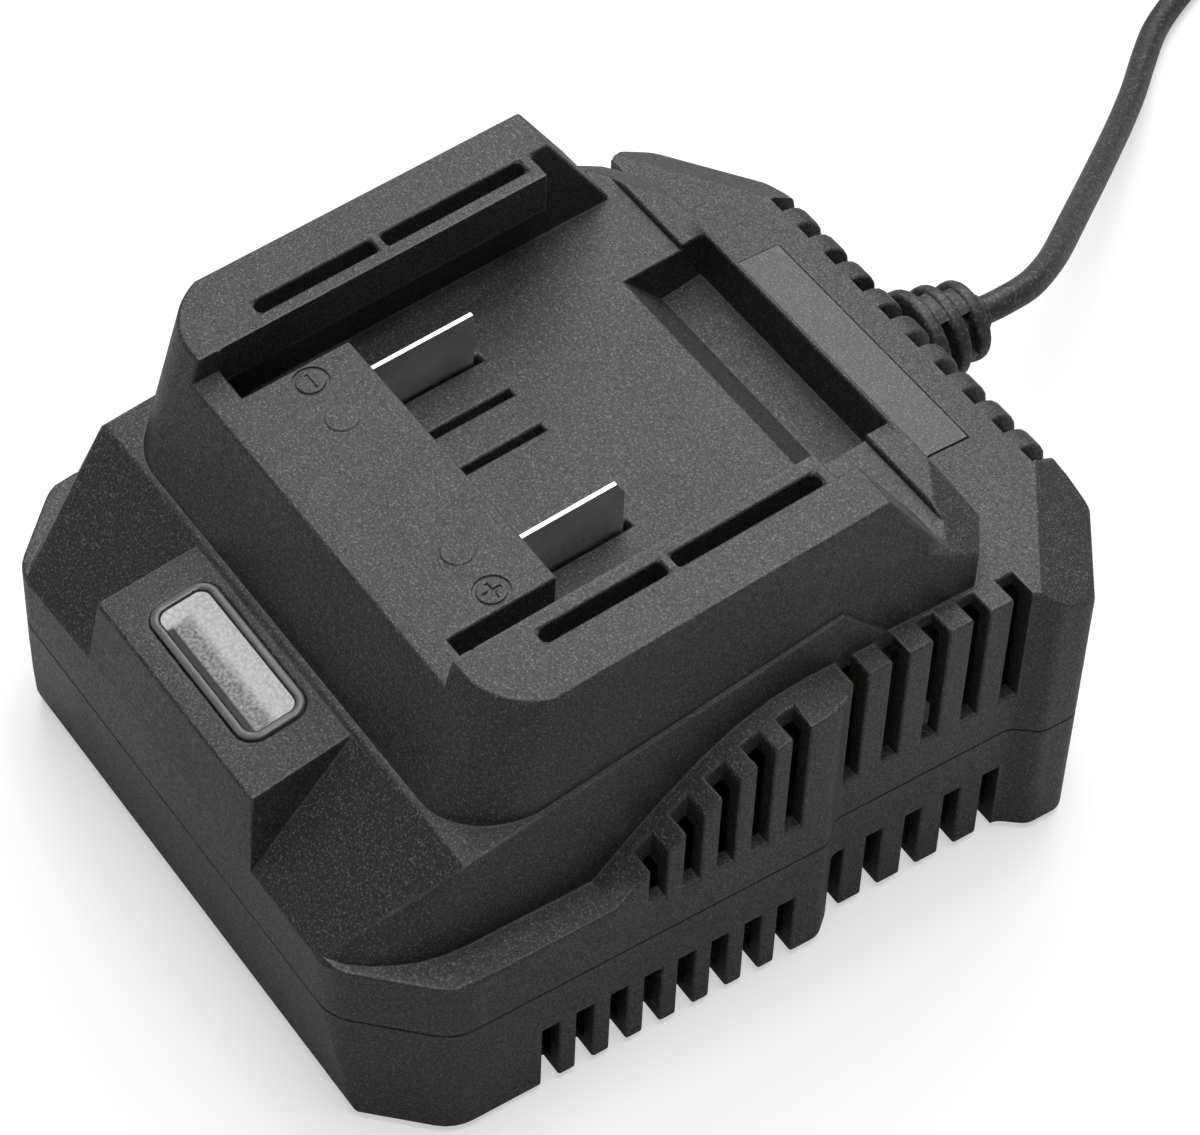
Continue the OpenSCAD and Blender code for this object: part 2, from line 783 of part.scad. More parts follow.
module housing_screws() {
    color(steel)
        for (p = screw_places)
            translate([p[0], p[1], screw_seat_z])
                screw_up(screw_r, screw_head_r, screw_head_h, joint_z + screw_bite - screw_seat_z);
}

module status_lens() {
    color([0.75, 0.75, 0.75])
        on_hood(lens_x, lens_y)
            translate([0, 0, lens_proud - lens_t])
                rounded_plate([lens_w, lens_l], lens_r, lens_t);
}

module light_diffuser() {
    color([0.9, 0.9, 0.9])
        on_hood(lens_x, lens_y)
            translate([0, 0, lens_proud - lens_t - diffuser_t])
                rounded_plate([lens_w - 2 * lens_rim - 2 * slip, lens_l - 2 * lens_rim - 2 * slip],
                    lens_r - lens_rim - slip, diffuser_t);
}

module status_leds() {
    color([0.95, 0.95, 0.85])
        on_hood(lens_x, lens_y)
            for (x = led_xs)
                translate([x - led_size / 2, -led_size / 2, lens_proud - lens_t - diffuser_t - led_t])
                    cube([led_size, led_size, led_t]);
}

module led_board() {
    w = lamp_w - 2 * wall - 0.6;
    color(board_green)
        on_hood(0, lens_y)
            translate([-w / 2, -4.4, lens_proud - lens_t - diffuser_t - led_t - led_board_t])
                cube([w, 8.8, led_board_t]);
}

module led_ribbon() {
    under = (lens_t - lens_proud + diffuser_t + led_t + led_board_t) / cos(hood_tilt);
    color([0.6, 0.6, 0.6])
        along_x(6)
            polygon([[ribbon_y, board_top], [ribbon_y + ribbon_t, board_top],
                [ribbon_y + ribbon_t, hood_at(ribbon_y + ribbon_t) - under],
                [ribbon_y, hood_at(ribbon_y) - under]]);
}

module label_plate() {
    color([0.45, 0.45, 0.45])
        translate([-label_w / 2, label_y - label_l / 2, deck_z + label_proud - label_t])
            cube([label_w, label_l, label_t]);
}

// Side outline of a contact blade: its nicked corner is at the top rear.
module blade_outline(nick) {
    polygon([[blade_y0, carrier_z], [blade_y0, floor_at(blade_y0) + blade_h],
        [blade_y1 - nick * 0.6, floor_at(blade_y1) + blade_h],
        [blade_y1, floor_at(blade_y1) + blade_h - nick],
        [blade_y1, carrier_z], [tab_y1, carrier_z], [tab_y1, tab_z], [tab_y0, tab_z], [tab_y0, carrier_z]]);
}

module blade(x, nick) {
    translate([x, 0, 0])
        along_x(blade_t)
            blade_outline(nick);
}

module negative_blade() {
    color(steel)
        blade(contact_xs[0], 0.3);
}

module positive_blade() {
    color(steel)
        blade(contact_xs[3], blade_nick);
}

module terminal_carrier() {
    color(dark)
        difference() {
            translate([carrier_x, 0, 0])
                along_x(carrier_w)
                    polygon([[carrier_y0, carrier_z], [carrier_y0, floor_at(carrier_y0) - wall],
                        [carrier_y1, floor_at(carrier_y1) - wall], [carrier_y1, carrier_z]]);
            for (x = [contact_xs[0], contact_xs[3]])
                translate([x, 0, 0])
                    along_x(blade_t)
                        polygon([[blade_y0, carrier_z - over], [blade_y0, floor_z + over],
                            [blade_y1, floor_z + over], [blade_y1, carrier_z - over]]);
        }
}

module output_leads() {
    color([0.3, 0.3, 0.3])
        for (x = [contact_xs[0], contact_xs[3]])
            translate([x, lead_y, board_top])
                cylinder(r = lead_r, h = tab_z - board_top);
}

module main_board() {
    color(board_green)
        difference() {
            translate([-board_w / 2, board_y0, board_z])
                cube([board_w, board_y1 - board_y0, board_t]);
            for (p = board_screw_places)
                translate([p[0], p[1], board_z - over])
                    cylinder(r = board_screw_r + 3 * slip, h = board_t + 2 * over);
        }
}

module board_screws() {
    color(steel)
        for (p = board_screw_places)
            translate([p[0], p[1], board_top])
                mirror([0, 0, 1])
                    screw_up(board_screw_r, board_screw_head_r, board_screw_head_h,
                        board_t + board_screw_bite);
}

module transformer_core() {
    color([0.25, 0.25, 0.27])
        translate([core_x, core_y, board_top])
            difference() {
                translate([-core_w / 2, -core_d / 2, 0])
                    cube([core_w, core_d, core_h]);
                both_sides()
                    translate([core_leg / 2, -core_d / 2 - over, core_web])
                        cube([core_w / 2 - core_web - core_leg / 2, core_d + 2 * over, core_h - 2 * core_web]);
            }
}

module transformer_winding() {
    color([0.75, 0.6, 0.2])
        translate([core_x, core_y, board_top + core_web])
            difference() {
                translate([-winding_w / 2, -winding_d / 2, 0])
                    cube([winding_w, winding_d, core_h - 2 * core_web]);
                translate([-core_leg / 2 - slip, -core_d / 2 - slip, -over])
                    cube([core_leg + 2 * slip, core_d + 2 * slip, core_h]);
            }
}

module transformer_bobbin() {
    depth = (winding_d - core_d) / 2 - slip;
    color(black)
        for (s = [-1, 1])
            translate([core_x - winding_w / 2, core_y + s * (winding_d - depth) / 2 - depth / 2, board_top])
                cube([winding_w, depth, core_web]);
}

// A round can that stands on the main board.
module can(x, y, r, h) {
    translate([x, y, board_top])
        cylinder(r = r, h = h);
}

module block(x, y, size) {
    translate([x - size[0] / 2, y - size[1] / 2, board_top])
        cube(size);
}

module input_capacitor() {
    color([0.15, 0.15, 0.3])
        can(-25, 30, 9, 26);
}

module output_capacitors() {
    color([0.15, 0.15, 0.3])
        for (y = [-30, -18])
            can(31, y, 5, 20);
}

module filter_capacitor() {
    color([0.8, 0.75, 0.3])
        block(18, 38, [18, 8, 16]);
}

module filter_choke() {
    color([0.3, 0.35, 0.25])
        translate([24, 24, board_top])
            difference() {
                cylinder(r = 9, h = 7);
                translate([0, 0, -over])
                    cylinder(r = 4, h = 7 + 2 * over);
            }
}

module mains_fuse() {
    color(steel)
        for (x = [fuse_x0, fuse_x0 + fuse_l + 4])
            block(x, fuse_y, [4, 5.4, 5.4]);
    color([0.85, 0.85, 0.85])
        translate([fuse_x0 + 2, fuse_y, board_top + 2.7])
            rotate([0, 90, 0])
                cylinder(r = 2.3, h = fuse_l);
}

module bridge_rectifier() {
    color(black)
        block(-33, 8, [4.6, 22, 17]);
}

module primary_heat_sink() {
    color(steel)
        block(-27, 2, [2, 32, 24]);
}

module power_transistor() {
    color(black)
        block(-24.1, -5, [3.8, 10, 15]);
}

module secondary_heat_sink() {
    color(steel)
        block(21, -6, [2, 32, 22]);
}

module rectifier_diode() {
    color(black)
        block(24.2, -6, [4.4, 10, 15]);
}

module controller_chips() {
    color(black)
        for (p = [[0, -30], [-14, -35], [9, -39]])
            block(p[0], p[1], [6, 5, 1.6]);
}

module input_leads() {
    color([0.35, 0.2, 0.15])
        for (s = [-1, 1])
            translate([exit_x + s * input_lead_x, 0, 0]) {
                translate([0, input_lead_y, board_top])
                    cylinder(r = input_lead_r, h = exit_z - board_top);
                translate([0, input_lead_y, exit_z])
                    sphere(r = input_lead_r);
                translate([0, input_lead_y, exit_z])
                    rotate([-90, 0, 0])
                        cylinder(r = input_lead_r, h = inner_cord_y0 - input_lead_y);
            }
}

module inner_cord() {
    color(black)
        translate([exit_x, inner_cord_y0, exit_z])
            rotate([-90, 0, 0])
                cylinder(r = cord_r, h = rear_y - wall - relief_flange_t - inner_cord_y0);
}

module cord_clamp() {
    color(dark)
        difference() {
            translate([exit_x - saddle_w / 2, saddle_y0, exit_z - clamp_t])
                cube([saddle_w, saddle_y1 - saddle_y0, clamp_t]);
            translate([exit_x, saddle_y0 - over, exit_z])
                rotate([-90, 0, 0])
                    cylinder(r = cord_r + screw_play, h = saddle_y1 - saddle_y0 + 2 * over);
            for (s = [-1, 1])
                translate([exit_x + s * clamp_screw_x, (saddle_y0 + saddle_y1) / 2, exit_z - clamp_t - over])
                    cylinder(r = clamp_screw_r + slip, h = clamp_t + 2 * over);
        }
}

module clamp_screws() {
    color(steel)
        for (s = [-1, 1])
            translate([exit_x + s * clamp_screw_x, (saddle_y0 + saddle_y1) / 2, exit_z - clamp_t])
                screw_up(clamp_screw_r, clamp_head_r, clamp_head_h, clamp_t + 5);
}

// Ribbed bushing: a flange inside the wall, a neck in it, and ribs outside that
// get smaller towards the lead.
module strain_relief() {
    y_in = rear_y - wall;
    color(black)
        translate([exit_x, 0, exit_z])
            rotate([-90, 0, 0])
                rotate_extrude(convexity = 6)
                    polygon(concat(
                        [[0, y_in - relief_flange_t], [relief_flange_r, y_in - relief_flange_t],
                            [relief_flange_r, y_in], [relief_neck_r, y_in],
                            [relief_neck_r, rear_y + 1], [relief_core_r, rear_y + 1]],
                        [for (i = [0 : 2], p = [[0, 0], [1, 0], [1, relief_rib_w], [0, relief_rib_w]])
                            [p[0] > 0 ? relief_ribs_r[i] : relief_core_r,
                                relief_ribs_y + i * relief_pitch + p[1]]],
                        [[cord_r + 0.6, relief_y1], [0, relief_y1]]));
}

// A tube with rings square to the mean direction at each point of a path.
module tube(path, r, sides) {
    n = len(path);
    heading = [for (i = [0 : n - 1]) let (d = path[min(i + 1, n - 1)] - path[max(i - 1, 0)]) d / norm(d)];
    across = [for (h = heading) let (c = cross(h, [0, 0, 1])) c / norm(c)];
    points = [for (i = [0 : n - 1], k = [0 : sides - 1])
        let (a = 360 * k / sides, up = cross(across[i], heading[i]))
            path[i] + r * (cos(a) * across[i] + sin(a) * up)];
    walls = [for (i = [0 : n - 2], k = [0 : sides - 1])
        let (a = i * sides + k, b = i * sides + (k + 1) % sides)
            [a, a + sides, b + sides, b]];
    polyhedron(points, concat(walls, [[for (k = [0 : sides - 1]) k]],
        [[for (k = [sides - 1 : -1 : 0]) (n - 1) * sides + k]]), convexity = 6);
}

module power_cord() {
    color(black)
        tube(route, cord_r, 8);
}

module cord_coil() {
    color(black)
        translate([coil_x, coil_y, 0])
            rotate_extrude($fn = 64)
                translate([coil_r0, 0])
                    square([coil_r1 - coil_r0, coil_h]);
}

module cord_tie() {
    tie_w = 8;
    tie_t = 0.8;
    color(dark)
        translate([coil_x, coil_y + coil_mean_r, 0])
            translate([-tie_w / 2, 0, 0])
                difference() {
                    translate([0, -coil_half - tie_t - slip, 0])
                        cube([tie_w, 2 * coil_half + 2 * tie_t + 2 * slip + 0.4, coil_h + tie_t + slip]);
                    translate([-over, -coil_half - 3 * slip, -over])
                        cube([tie_w + 2 * over, 2 * coil_half + 4 * slip, coil_h + slip + over]);
                }
}

module cord_tail() {
    color(black)
        translate([tail_x, plug_relief_y1, cord_r])
            rotate([-90, 0, 0])
                cylinder(r = cord_r, h = tail_y1 - plug_relief_y1);
}

module plug_body() {
    color(black)
        translate([tail_x, plug_y1 - plug_l, 0]) {
            intersection() {
                translate([0, 0, -over])
                    linear_extrude(height = plug_h + 2 * over)
                        polygon([[-plug_w / 2, 0], [plug_w / 2, 0], [plug_w / 2, plug_grip_l],
                            [plug_shoulder_w / 2, plug_shoulder_l], [plug_neck_w / 2, plug_l],
                            [-plug_neck_w / 2, plug_l], [-plug_shoulder_w / 2, plug_shoulder_l],
                            [-plug_w / 2, plug_grip_l]]);
                along_x(plug_w + 2 * over)
                    polygon([[-over, 0], [plug_l + over, 0], [plug_l + over, plug_neck_h],
                        [plug_l, plug_neck_h], [plug_shoulder_l, plug_shoulder_h],
                        [plug_grip_l, plug_h], [-over, plug_h]]);
            }
            translate([0, plug_l - eps, cord_r])
                rotate([-90, 0, 0])
                    cylinder(r = cord_r, h = plug_relief_l + eps);
        }
}

module plug_pins() {
    color(steel)
        for (s = [-1, 1])
            translate([tail_x + s * pin_gap / 2 - pin_t / 2, plug_y1 - plug_l - pin_l, (plug_h - pin_w) / 2])
                cube([pin_t, pin_l, pin_w]);
}

// Brings the middle of the housing to the origin.
module placed() {
    translate([0, -mid_y, 0])
        children();
}

placed() lower_housing();
placed() upper_housing();
placed() rubber_feet();
placed() housing_screws();
placed() status_lens();
placed() light_diffuser();
placed() status_leds();
placed() led_board();
placed() led_ribbon();
placed() label_plate();
placed() terminal_carrier();
placed() negative_blade();
placed() positive_blade();
placed() output_leads();
placed() main_board();
placed() board_screws();
placed() transformer_core();
placed() transformer_winding();
placed() transformer_bobbin();
placed() input_capacitor();
placed() output_capacitors();
placed() filter_capacitor();
placed() filter_choke();
placed() mains_fuse();
placed() bridge_rectifier();
placed() primary_heat_sink();
placed() power_transistor();
placed() secondary_heat_sink();
placed() rectifier_diode();
placed() controller_chips();
placed() input_leads();
placed() inner_cord();
placed() cord_clamp();
placed() clamp_screws();
placed() strain_relief();
placed() power_cord();
placed() cord_coil();
placed() cord_tie();
placed() cord_tail();
placed() plug_body();
placed() plug_pins();
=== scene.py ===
# %% [markdown]
# # Power tool battery charger
#
# This file dresses a charger for slide-on battery packs. The solids come from the packed
# frame, in metres, with +Z up, the status window at -Y and the mains lead at +Y. Each cell
# makes one thing and prints what it made.

import math

import bmesh
import bpy
from mathutils import Matrix, Vector


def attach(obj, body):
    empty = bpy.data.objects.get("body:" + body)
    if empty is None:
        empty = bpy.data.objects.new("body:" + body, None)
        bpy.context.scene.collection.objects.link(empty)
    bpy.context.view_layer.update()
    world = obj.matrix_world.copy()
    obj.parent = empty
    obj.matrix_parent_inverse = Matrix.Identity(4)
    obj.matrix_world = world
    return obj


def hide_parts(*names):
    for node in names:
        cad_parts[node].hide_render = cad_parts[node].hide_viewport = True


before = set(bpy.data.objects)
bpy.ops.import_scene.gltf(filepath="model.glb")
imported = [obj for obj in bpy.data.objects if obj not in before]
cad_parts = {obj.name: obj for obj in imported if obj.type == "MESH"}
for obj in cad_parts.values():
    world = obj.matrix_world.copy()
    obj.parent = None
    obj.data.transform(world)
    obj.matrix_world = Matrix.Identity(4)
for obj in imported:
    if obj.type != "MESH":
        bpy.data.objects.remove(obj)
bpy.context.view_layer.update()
scene = bpy.context.scene
MM = 0.001


def new_object(name, data):
    """Links a new object to the scene."""
    made = bpy.data.objects.new(name, data)
    scene.collection.objects.link(made)
    return made


# %% [markdown]
# The camera looks down on the front right corner from about half a metre with a long lens, so
# the verticals hardly converge. It is built from its three axes, because a small roll is easier
# to state that way than as Euler angles.

# %% Camera
IMAGE_WIDTH_PX = 1200
FOCAL_PX = 4305.8
SENSOR_MM = 36.0
VIEW_AZIMUTH = math.radians(54.095)
VIEW_ELEVATION = math.radians(48.017)
VIEW_ROLL = math.radians(2.58)
VIEW_DISTANCE = 0.60646
VIEW_TARGET = Vector((0.0, 0.0075, 0.0290))


def camera_axes(azimuth, elevation, roll):
    """Right, up and back directions of a camera that looks at its target."""
    back = Vector((math.sin(azimuth) * math.cos(elevation),
                   -math.cos(azimuth) * math.cos(elevation),
                   math.sin(elevation)))
    right = Vector((math.cos(azimuth), math.sin(azimuth), 0.0))
    up = back.cross(right)
    turned_right = right * math.cos(roll) + up * math.sin(roll)
    turned_up = up * math.cos(roll) - right * math.sin(roll)
    return turned_right, turned_up, back


camera_data = bpy.data.cameras.new("camera")
camera = new_object("camera", camera_data)
scene.camera = camera
view_axes = camera_axes(VIEW_AZIMUTH, VIEW_ELEVATION, VIEW_ROLL)
camera_matrix = Matrix(view_axes).transposed().to_4x4()
camera_matrix.translation = VIEW_TARGET + view_axes[2] * VIEW_DISTANCE
camera.matrix_world = camera_matrix
camera_data.sensor_width = SENSOR_MM
camera_data.lens = FOCAL_PX / IMAGE_WIDTH_PX * SENSOR_MM
camera_data.clip_start = 0.05
camera_data.clip_end = 20
print("lens:", round(camera_data.lens, 1), "mm")

# %% [markdown]
# The mains lead leaves the rear wall, falls in one soft bend to the bench and is wound into a
# neat coil of two layers behind the charger. The lower layer runs in from the outer turn, the
# upper layer runs out again, so the plug end comes off the outside. The lead is a curve with
# one open spline, because a curve keeps its centreline for measuring. Its sizes are in mm.

# %% Mains lead
LEAD_WIDTH = 4.4
LEAD_ROUTE = [(-6, 78.6, 37), (-6.1, 82.6, 36.9), (-7.4, 88.6, 35.9), (-10.2, 94.1, 34.2),
              (-13.9, 99.6, 32), (-19.4, 106.6, 28.6), (-25, 113.6, 25), (-31, 121.1, 21.1),
              (-37, 128.6, 17.4), (-43, 136.1, 13.9), (-49, 143.6, 10.7), (-56, 152.1, 7.5),
              (-63, 160.1, 4.9), (-69.5, 168.1, 3.3), (-74.2, 176.2, 2.5), (-77.6, 184.0, 2.2),
              (-79.4, 191.6, 2.2)]
ROUTE_STEPS = 4
COIL_CENTRE = (-114.6, 209.8)
COIL_OUTER = 35.2
COIL_INNER = 17.6
COIL_LOWER_TURNS = 4
COIL_RISE_DEGREES = 110
COIL_END_DEGREES = 3060
COIL_STEP_DEGREES = 10
TAIL_LENGTH = 25.4
TAIL_DROP_LENGTH = 24
TAIL_STEPS = 12


def smooth_step(t):
    """Goes from 0 to 1 with level ends."""
    t = min(1.0, max(0.0, t))
    return t * t * (3 - 2 * t)


def smooth_route(points, steps):
    """Points on a Catmull-Rom curve through the given ones."""
    ends = [2 * Vector(points[0]) - Vector(points[1])] + [Vector(p) for p in points]
    ends.append(2 * Vector(points[-1]) - Vector(points[-2]))
    line = []
    for i in range(1, len(ends) - 2):
        a, b, c, d = ends[i - 1:i + 3]
        for k in range(steps):
            t = k / steps
            line.append(0.5 * (2 * b + (c - a) * t + (2 * a - 5 * b + 4 * c - d) * t ** 2
                               + (3 * b - a - 3 * c + d) * t ** 3))
    line.append(ends[-2])
    return line


def coil_point(degrees):
    """A point of the two-layer coil at an angle along the lead."""
    lower_end = COIL_LOWER_TURNS * 360
    upper_start = lower_end + COIL_RISE_DEGREES
    low, high = LEAD_WIDTH / 2, LEAD_WIDTH * 1.5
    if degrees <= lower_end:
        radius = COIL_OUTER - (COIL_OUTER - COIL_INNER) * degrees / lower_end
        height = low
    elif degrees <= upper_start:
        radius = COIL_INNER
        height = low + (high - low) * smooth_step((degrees - lower_end) / COIL_RISE_DEGREES)
    else:
        share = (degrees - upper_start) / (COIL_END_DEGREES - upper_start)
        radius = COIL_INNER + (COIL_OUTER - COIL_INNER) * share
        height = high
    turn = math.radians(degrees)
    return Vector((COIL_CENTRE[0] + radius * math.cos(turn),
                   COIL_CENTRE[1] + radius * math.sin(turn), height))


def wire_curve(name, points, radius, resolution):
    """A round wire along points in metres, as a curve."""
    curve = bpy.data.curves.new(name, "CURVE")
    curve.dimensions = "3D"
    curve.bevel_depth = radius
    curve.bevel_resolution = resolution
    spline = curve.splines.new("POLY")
    spline.points.add(len(points) - 1)
    for point, place in zip(spline.points, points):
        point.co = (*place, 1.0)
    return curve


lead_line = smooth_route(LEAD_ROUTE, ROUTE_STEPS)
lead_line += [coil_point(a) for a in range(0, COIL_END_DEGREES + 1, COIL_STEP_DEGREES)]
for step in range(1, TAIL_STEPS + 1):
    along = TAIL_LENGTH * step / TAIL_STEPS
    drop = LEAD_WIDTH * (1 - smooth_step(along / TAIL_DROP_LENGTH))
    lead_line.append(Vector((COIL_CENTRE[0] - COIL_OUTER, COIL_CENTRE[1] - along,
                             LEAD_WIDTH / 2 + drop)))
lead_curve = wire_curve("mains_lead", [point * MM for point in lead_line], LEAD_WIDTH / 2 * MM, 4)
lead_curve.use_fill_caps = True
lead_curve.splines[0].use_smooth = True
mains_lead = new_object("mains_lead", lead_curve)

# %% [markdown]
# Materials, the floor and the screws are all node trees, so a few helpers come first. One
# gives a socket a value or a link, and the others add a node and feed its inputs by label.

# %% Node helpers
def feed(tree, socket, value):
    """Links a socket to another one, or sets its value."""
    if isinstance(value, bpy.types.NodeSocket):
        tree.links.new(value, socket)
    else:
        socket.default_value = value


def add_node(tree, kind, **inputs):
    """Adds a node and feeds its inputs by label, with _ for a space."""
    node = tree.nodes.new(kind)
    for label, value in inputs.items():
        feed(tree, node.inputs[label.replace("_", " ")], value)
    return node


def math_node(tree, operation, first, second):
    """The result of a math node whose inputs are sockets or numbers."""
    node = tree.nodes.new("ShaderNodeMath")
    node.operation = operation
    feed(tree, node.inputs[0], first)
    feed(tree, node.inputs[1], second)
    return node.outputs[0]


def two_shaders(tree, kind, first, second, **inputs):
    """The result of a Mix Shader or an Add Shader, whose last two inputs are the shaders."""
    node = add_node(tree, kind, **inputs)
    feed(tree, node.inputs[-2], first.outputs[0])
    feed(tree, node.inputs[-1], second.outputs[0])
    return node.outputs[0]


print("helpers: feed, add_node, math_node, two_shaders")

# %% [markdown]
# Black plastic looks like what it mirrors. A pale floor gives the upright walls their soft
# grey, and two large soft panels, one behind and one overhead, give the level faces theirs,
# while the slopes that face the front mirror the dim room and stay dark. The camera and rays
# through glass see a white background. Gloss sees a small share of it, since the whole of it
# would turn the matt walls pale. None of it lights the charger otherwise.

# %% Floor, room and lamps
WHITE = (1, 1, 1, 1)
FLOOR_SIZE = 12.0
FLOOR_COLOUR = (0.56, 0.56, 0.56, 1.0)
FLOOR_GLOW = 0.55
GLOSS_SHARE = 0.12
ROOM_LEVEL = 0.03
PANEL_DISTANCE = 1.5
PANELS = (  # name, direction from the charger, size in metres, power in watts
    ("rear panel", (-0.50, 0.42, 0.76), 1.3, 16.0),
    ("overhead panel", (0.05, 0.0, 1.0), 0.9, 14.0),
)


def background_seen(tree):
    """How much of the white background a ray sees, from 0 to 1."""
    path = tree.nodes.new("ShaderNodeLightPath").outputs
    in_gloss = math_node(tree, "MULTIPLY", path["Is Glossy Ray"], GLOSS_SHARE)
    straight = math_node(tree, "MAXIMUM", path["Is Camera Ray"], path["Is Transmission Ray"])
    return math_node(tree, "MAXIMUM", straight, in_gloss)


world = bpy.data.worlds.new("room")
scene.world = world
world.use_nodes = True
room = world.node_tree
room.nodes.clear()
room_dim = add_node(room, "ShaderNodeBackground", Color=WHITE, Strength=ROOM_LEVEL)
room_white = add_node(room, "ShaderNodeBackground", Color=WHITE)
add_node(room, "ShaderNodeOutputWorld",
         Surface=two_shaders(room, "ShaderNodeMixShader", room_dim, room_white,
                             Fac=background_seen(room)))

floor_mesh = bpy.data.meshes.new("floor")
half_floor = FLOOR_SIZE / 2
floor_mesh.from_pydata([(x * half_floor, y * half_floor, 0)
                        for x, y in ((-1, -1), (1, -1), (1, 1), (-1, 1))], [], [(0, 1, 2, 3)])
floor = new_object("floor", floor_mesh)
floor_paint = bpy.data.materials.new("pale floor")
floor_paint.use_nodes = True
floor_tree = floor_paint.node_tree
floor_tree.nodes.clear()
floor_diffuse = add_node(floor_tree, "ShaderNodeBsdfDiffuse", Color=FLOOR_COLOUR)
floor_lift = math_node(floor_tree, "MULTIPLY", background_seen(floor_tree), FLOOR_GLOW)
floor_glow = add_node(floor_tree, "ShaderNodeEmission", Strength=floor_lift)
add_node(floor_tree, "ShaderNodeOutputMaterial",
         Surface=two_shaders(floor_tree, "ShaderNodeAddShader", floor_diffuse, floor_glow))
floor_mesh.materials.append(floor_paint)

for name, direction, size, power in PANELS:
    lamp = bpy.data.lights.new(name, "AREA")
    lamp.shape = "SQUARE"
    lamp.size = size
    lamp.energy = power
    holder = new_object(name, lamp)
    toward = Vector(direction).normalized()
    holder.location = VIEW_TARGET + toward * PANEL_DISTANCE
    holder.rotation_mode = "QUATERNION"
    holder.rotation_quaternion = toward.to_track_quat("Z", "Y")
scene.view_settings.view_transform = "Standard"

# %% [markdown]
# Every moulded surface on the charger carries the fine texture that a spark-eroded mould
# leaves. One node group makes it for all plastics: a noise for the height, a softer one for
# the tone, and the brightest peaks of a third as tiny painted glints, sparkles of light that
# are painted into the colour. It reads Object coordinates, so the texture has the same size
# on every piece.

# %% Mould texture
TEXTURE_DETAIL = 3.0
TEXTURE_ROUGHNESS = 0.7
TONE_SCALE = 0.75
TONE_RANGE = (0.3, 0.7)
PAINTED_GLINT_SCALE = 1.3
PAINTED_GLINT_RANGE = (0.56, 0.78)


def new_group(name, inputs, outputs):
    """A shader node group of plain values, with its own input and output sockets."""
    tree = bpy.data.node_groups.new(name, "ShaderNodeTree")
    for label, value in inputs.items():
        tree.interface.new_socket(name=label, in_out="INPUT",
                                  socket_type="NodeSocketFloat").default_value = value
    for label in outputs:
        tree.interface.new_socket(name=label, in_out="OUTPUT", socket_type="NodeSocketFloat")
    given = tree.nodes.new("NodeGroupInput").outputs
    return tree, given, tree.nodes.new("NodeGroupOutput").inputs


def object_place(tree):
    """Object coordinates, which are metres here."""
    return tree.nodes.new("ShaderNodeTexCoord").outputs["Object"]


def noise(tree, place, scale, detail=2.0, roughness=0.6):
    """A noise texture read at a place."""
    return add_node(tree, "ShaderNodeTexNoise", Vector=place, Scale=scale, Detail=detail,
                    Roughness=roughness).outputs["Fac"]


def spread_values(tree, value, low, high, out_low=0.0, out_high=1.0):
    """Maps a range of values to another and clamps it."""
    return add_node(tree, "ShaderNodeMapRange", Value=value, From_Min=low, From_Max=high,
                    To_Min=out_low, To_Max=out_high).outputs["Result"]


mould_texture, given, wanted = new_group("mould texture", {"Scale": 3000.0},
                                         ("Height", "Tone", "Painted Glint"))
place = object_place(mould_texture)
tone_scale = math_node(mould_texture, "MULTIPLY", given["Scale"], TONE_SCALE)
painted_glint_scale = math_node(mould_texture, "MULTIPLY", given["Scale"], PAINTED_GLINT_SCALE)
grain_height = noise(mould_texture, place, given["Scale"], TEXTURE_DETAIL, TEXTURE_ROUGHNESS)
grain_tone = noise(mould_texture, place, tone_scale)
# painted glints: the brightest peaks of this noise lighten the colour as sparkles of light
painted_glint_noise = noise(mould_texture, place, painted_glint_scale, 0.0)
feed(mould_texture, wanted["Height"], grain_height)
feed(mould_texture, wanted["Tone"], spread_values(mould_texture, grain_tone, *TONE_RANGE))
feed(mould_texture, wanted["Painted Glint"], spread_values(mould_texture, painted_glint_noise, *PAINTED_GLINT_RANGE))
print("group:", mould_texture.name)

# %% [markdown]
# Corners that hands, packs and boxes rub against turn lighter and smoother; here only their
# colour turns lighter. The same lightening also paints the highlight that light lays along a
# rounded edge, so the mask is part wear and part painted highlight. It compares the surface's
# own normal with one that is rounded over a small radius: they differ only near an edge. A
# coarse noise breaks the mask up, so the lightening isn't an outline.

# %% Worn edges and painted edge highlights
WEAR_HIGHLIGHT_SAMPLES = 4
WEAR_HIGHLIGHT_RANGE = (0.04, 0.20)
WEAR_HIGHLIGHT_PATCH_SCALE = 160.0
WEAR_HIGHLIGHT_PATCH_RANGE = (0.35, 0.65, 0.35)

edge_wear_and_highlight, given, wanted = new_group("edge wear and painted highlight", {"Radius": 0.0010, "Amount": 1.0}, ("Mask",))
rounded = add_node(edge_wear_and_highlight, "ShaderNodeBevel", Radius=given["Radius"])
rounded.samples = WEAR_HIGHLIGHT_SAMPLES
surface = edge_wear_and_highlight.nodes.new("ShaderNodeNewGeometry")
compare = edge_wear_and_highlight.nodes.new("ShaderNodeVectorMath")
compare.operation = "DOT_PRODUCT"
feed(edge_wear_and_highlight, compare.inputs[0], rounded.outputs["Normal"])
feed(edge_wear_and_highlight, compare.inputs[1], surface.outputs["Normal"])
near_edge = math_node(edge_wear_and_highlight, "SUBTRACT", 1.0, compare.outputs["Value"])
near_edge = spread_values(edge_wear_and_highlight, near_edge, *WEAR_HIGHLIGHT_RANGE)
patches = noise(edge_wear_and_highlight, object_place(edge_wear_and_highlight), WEAR_HIGHLIGHT_PATCH_SCALE, 3.0)
patches = spread_values(edge_wear_and_highlight, patches, *WEAR_HIGHLIGHT_PATCH_RANGE)
wear_and_highlight_mask = math_node(edge_wear_and_highlight, "MULTIPLY", near_edge, patches)
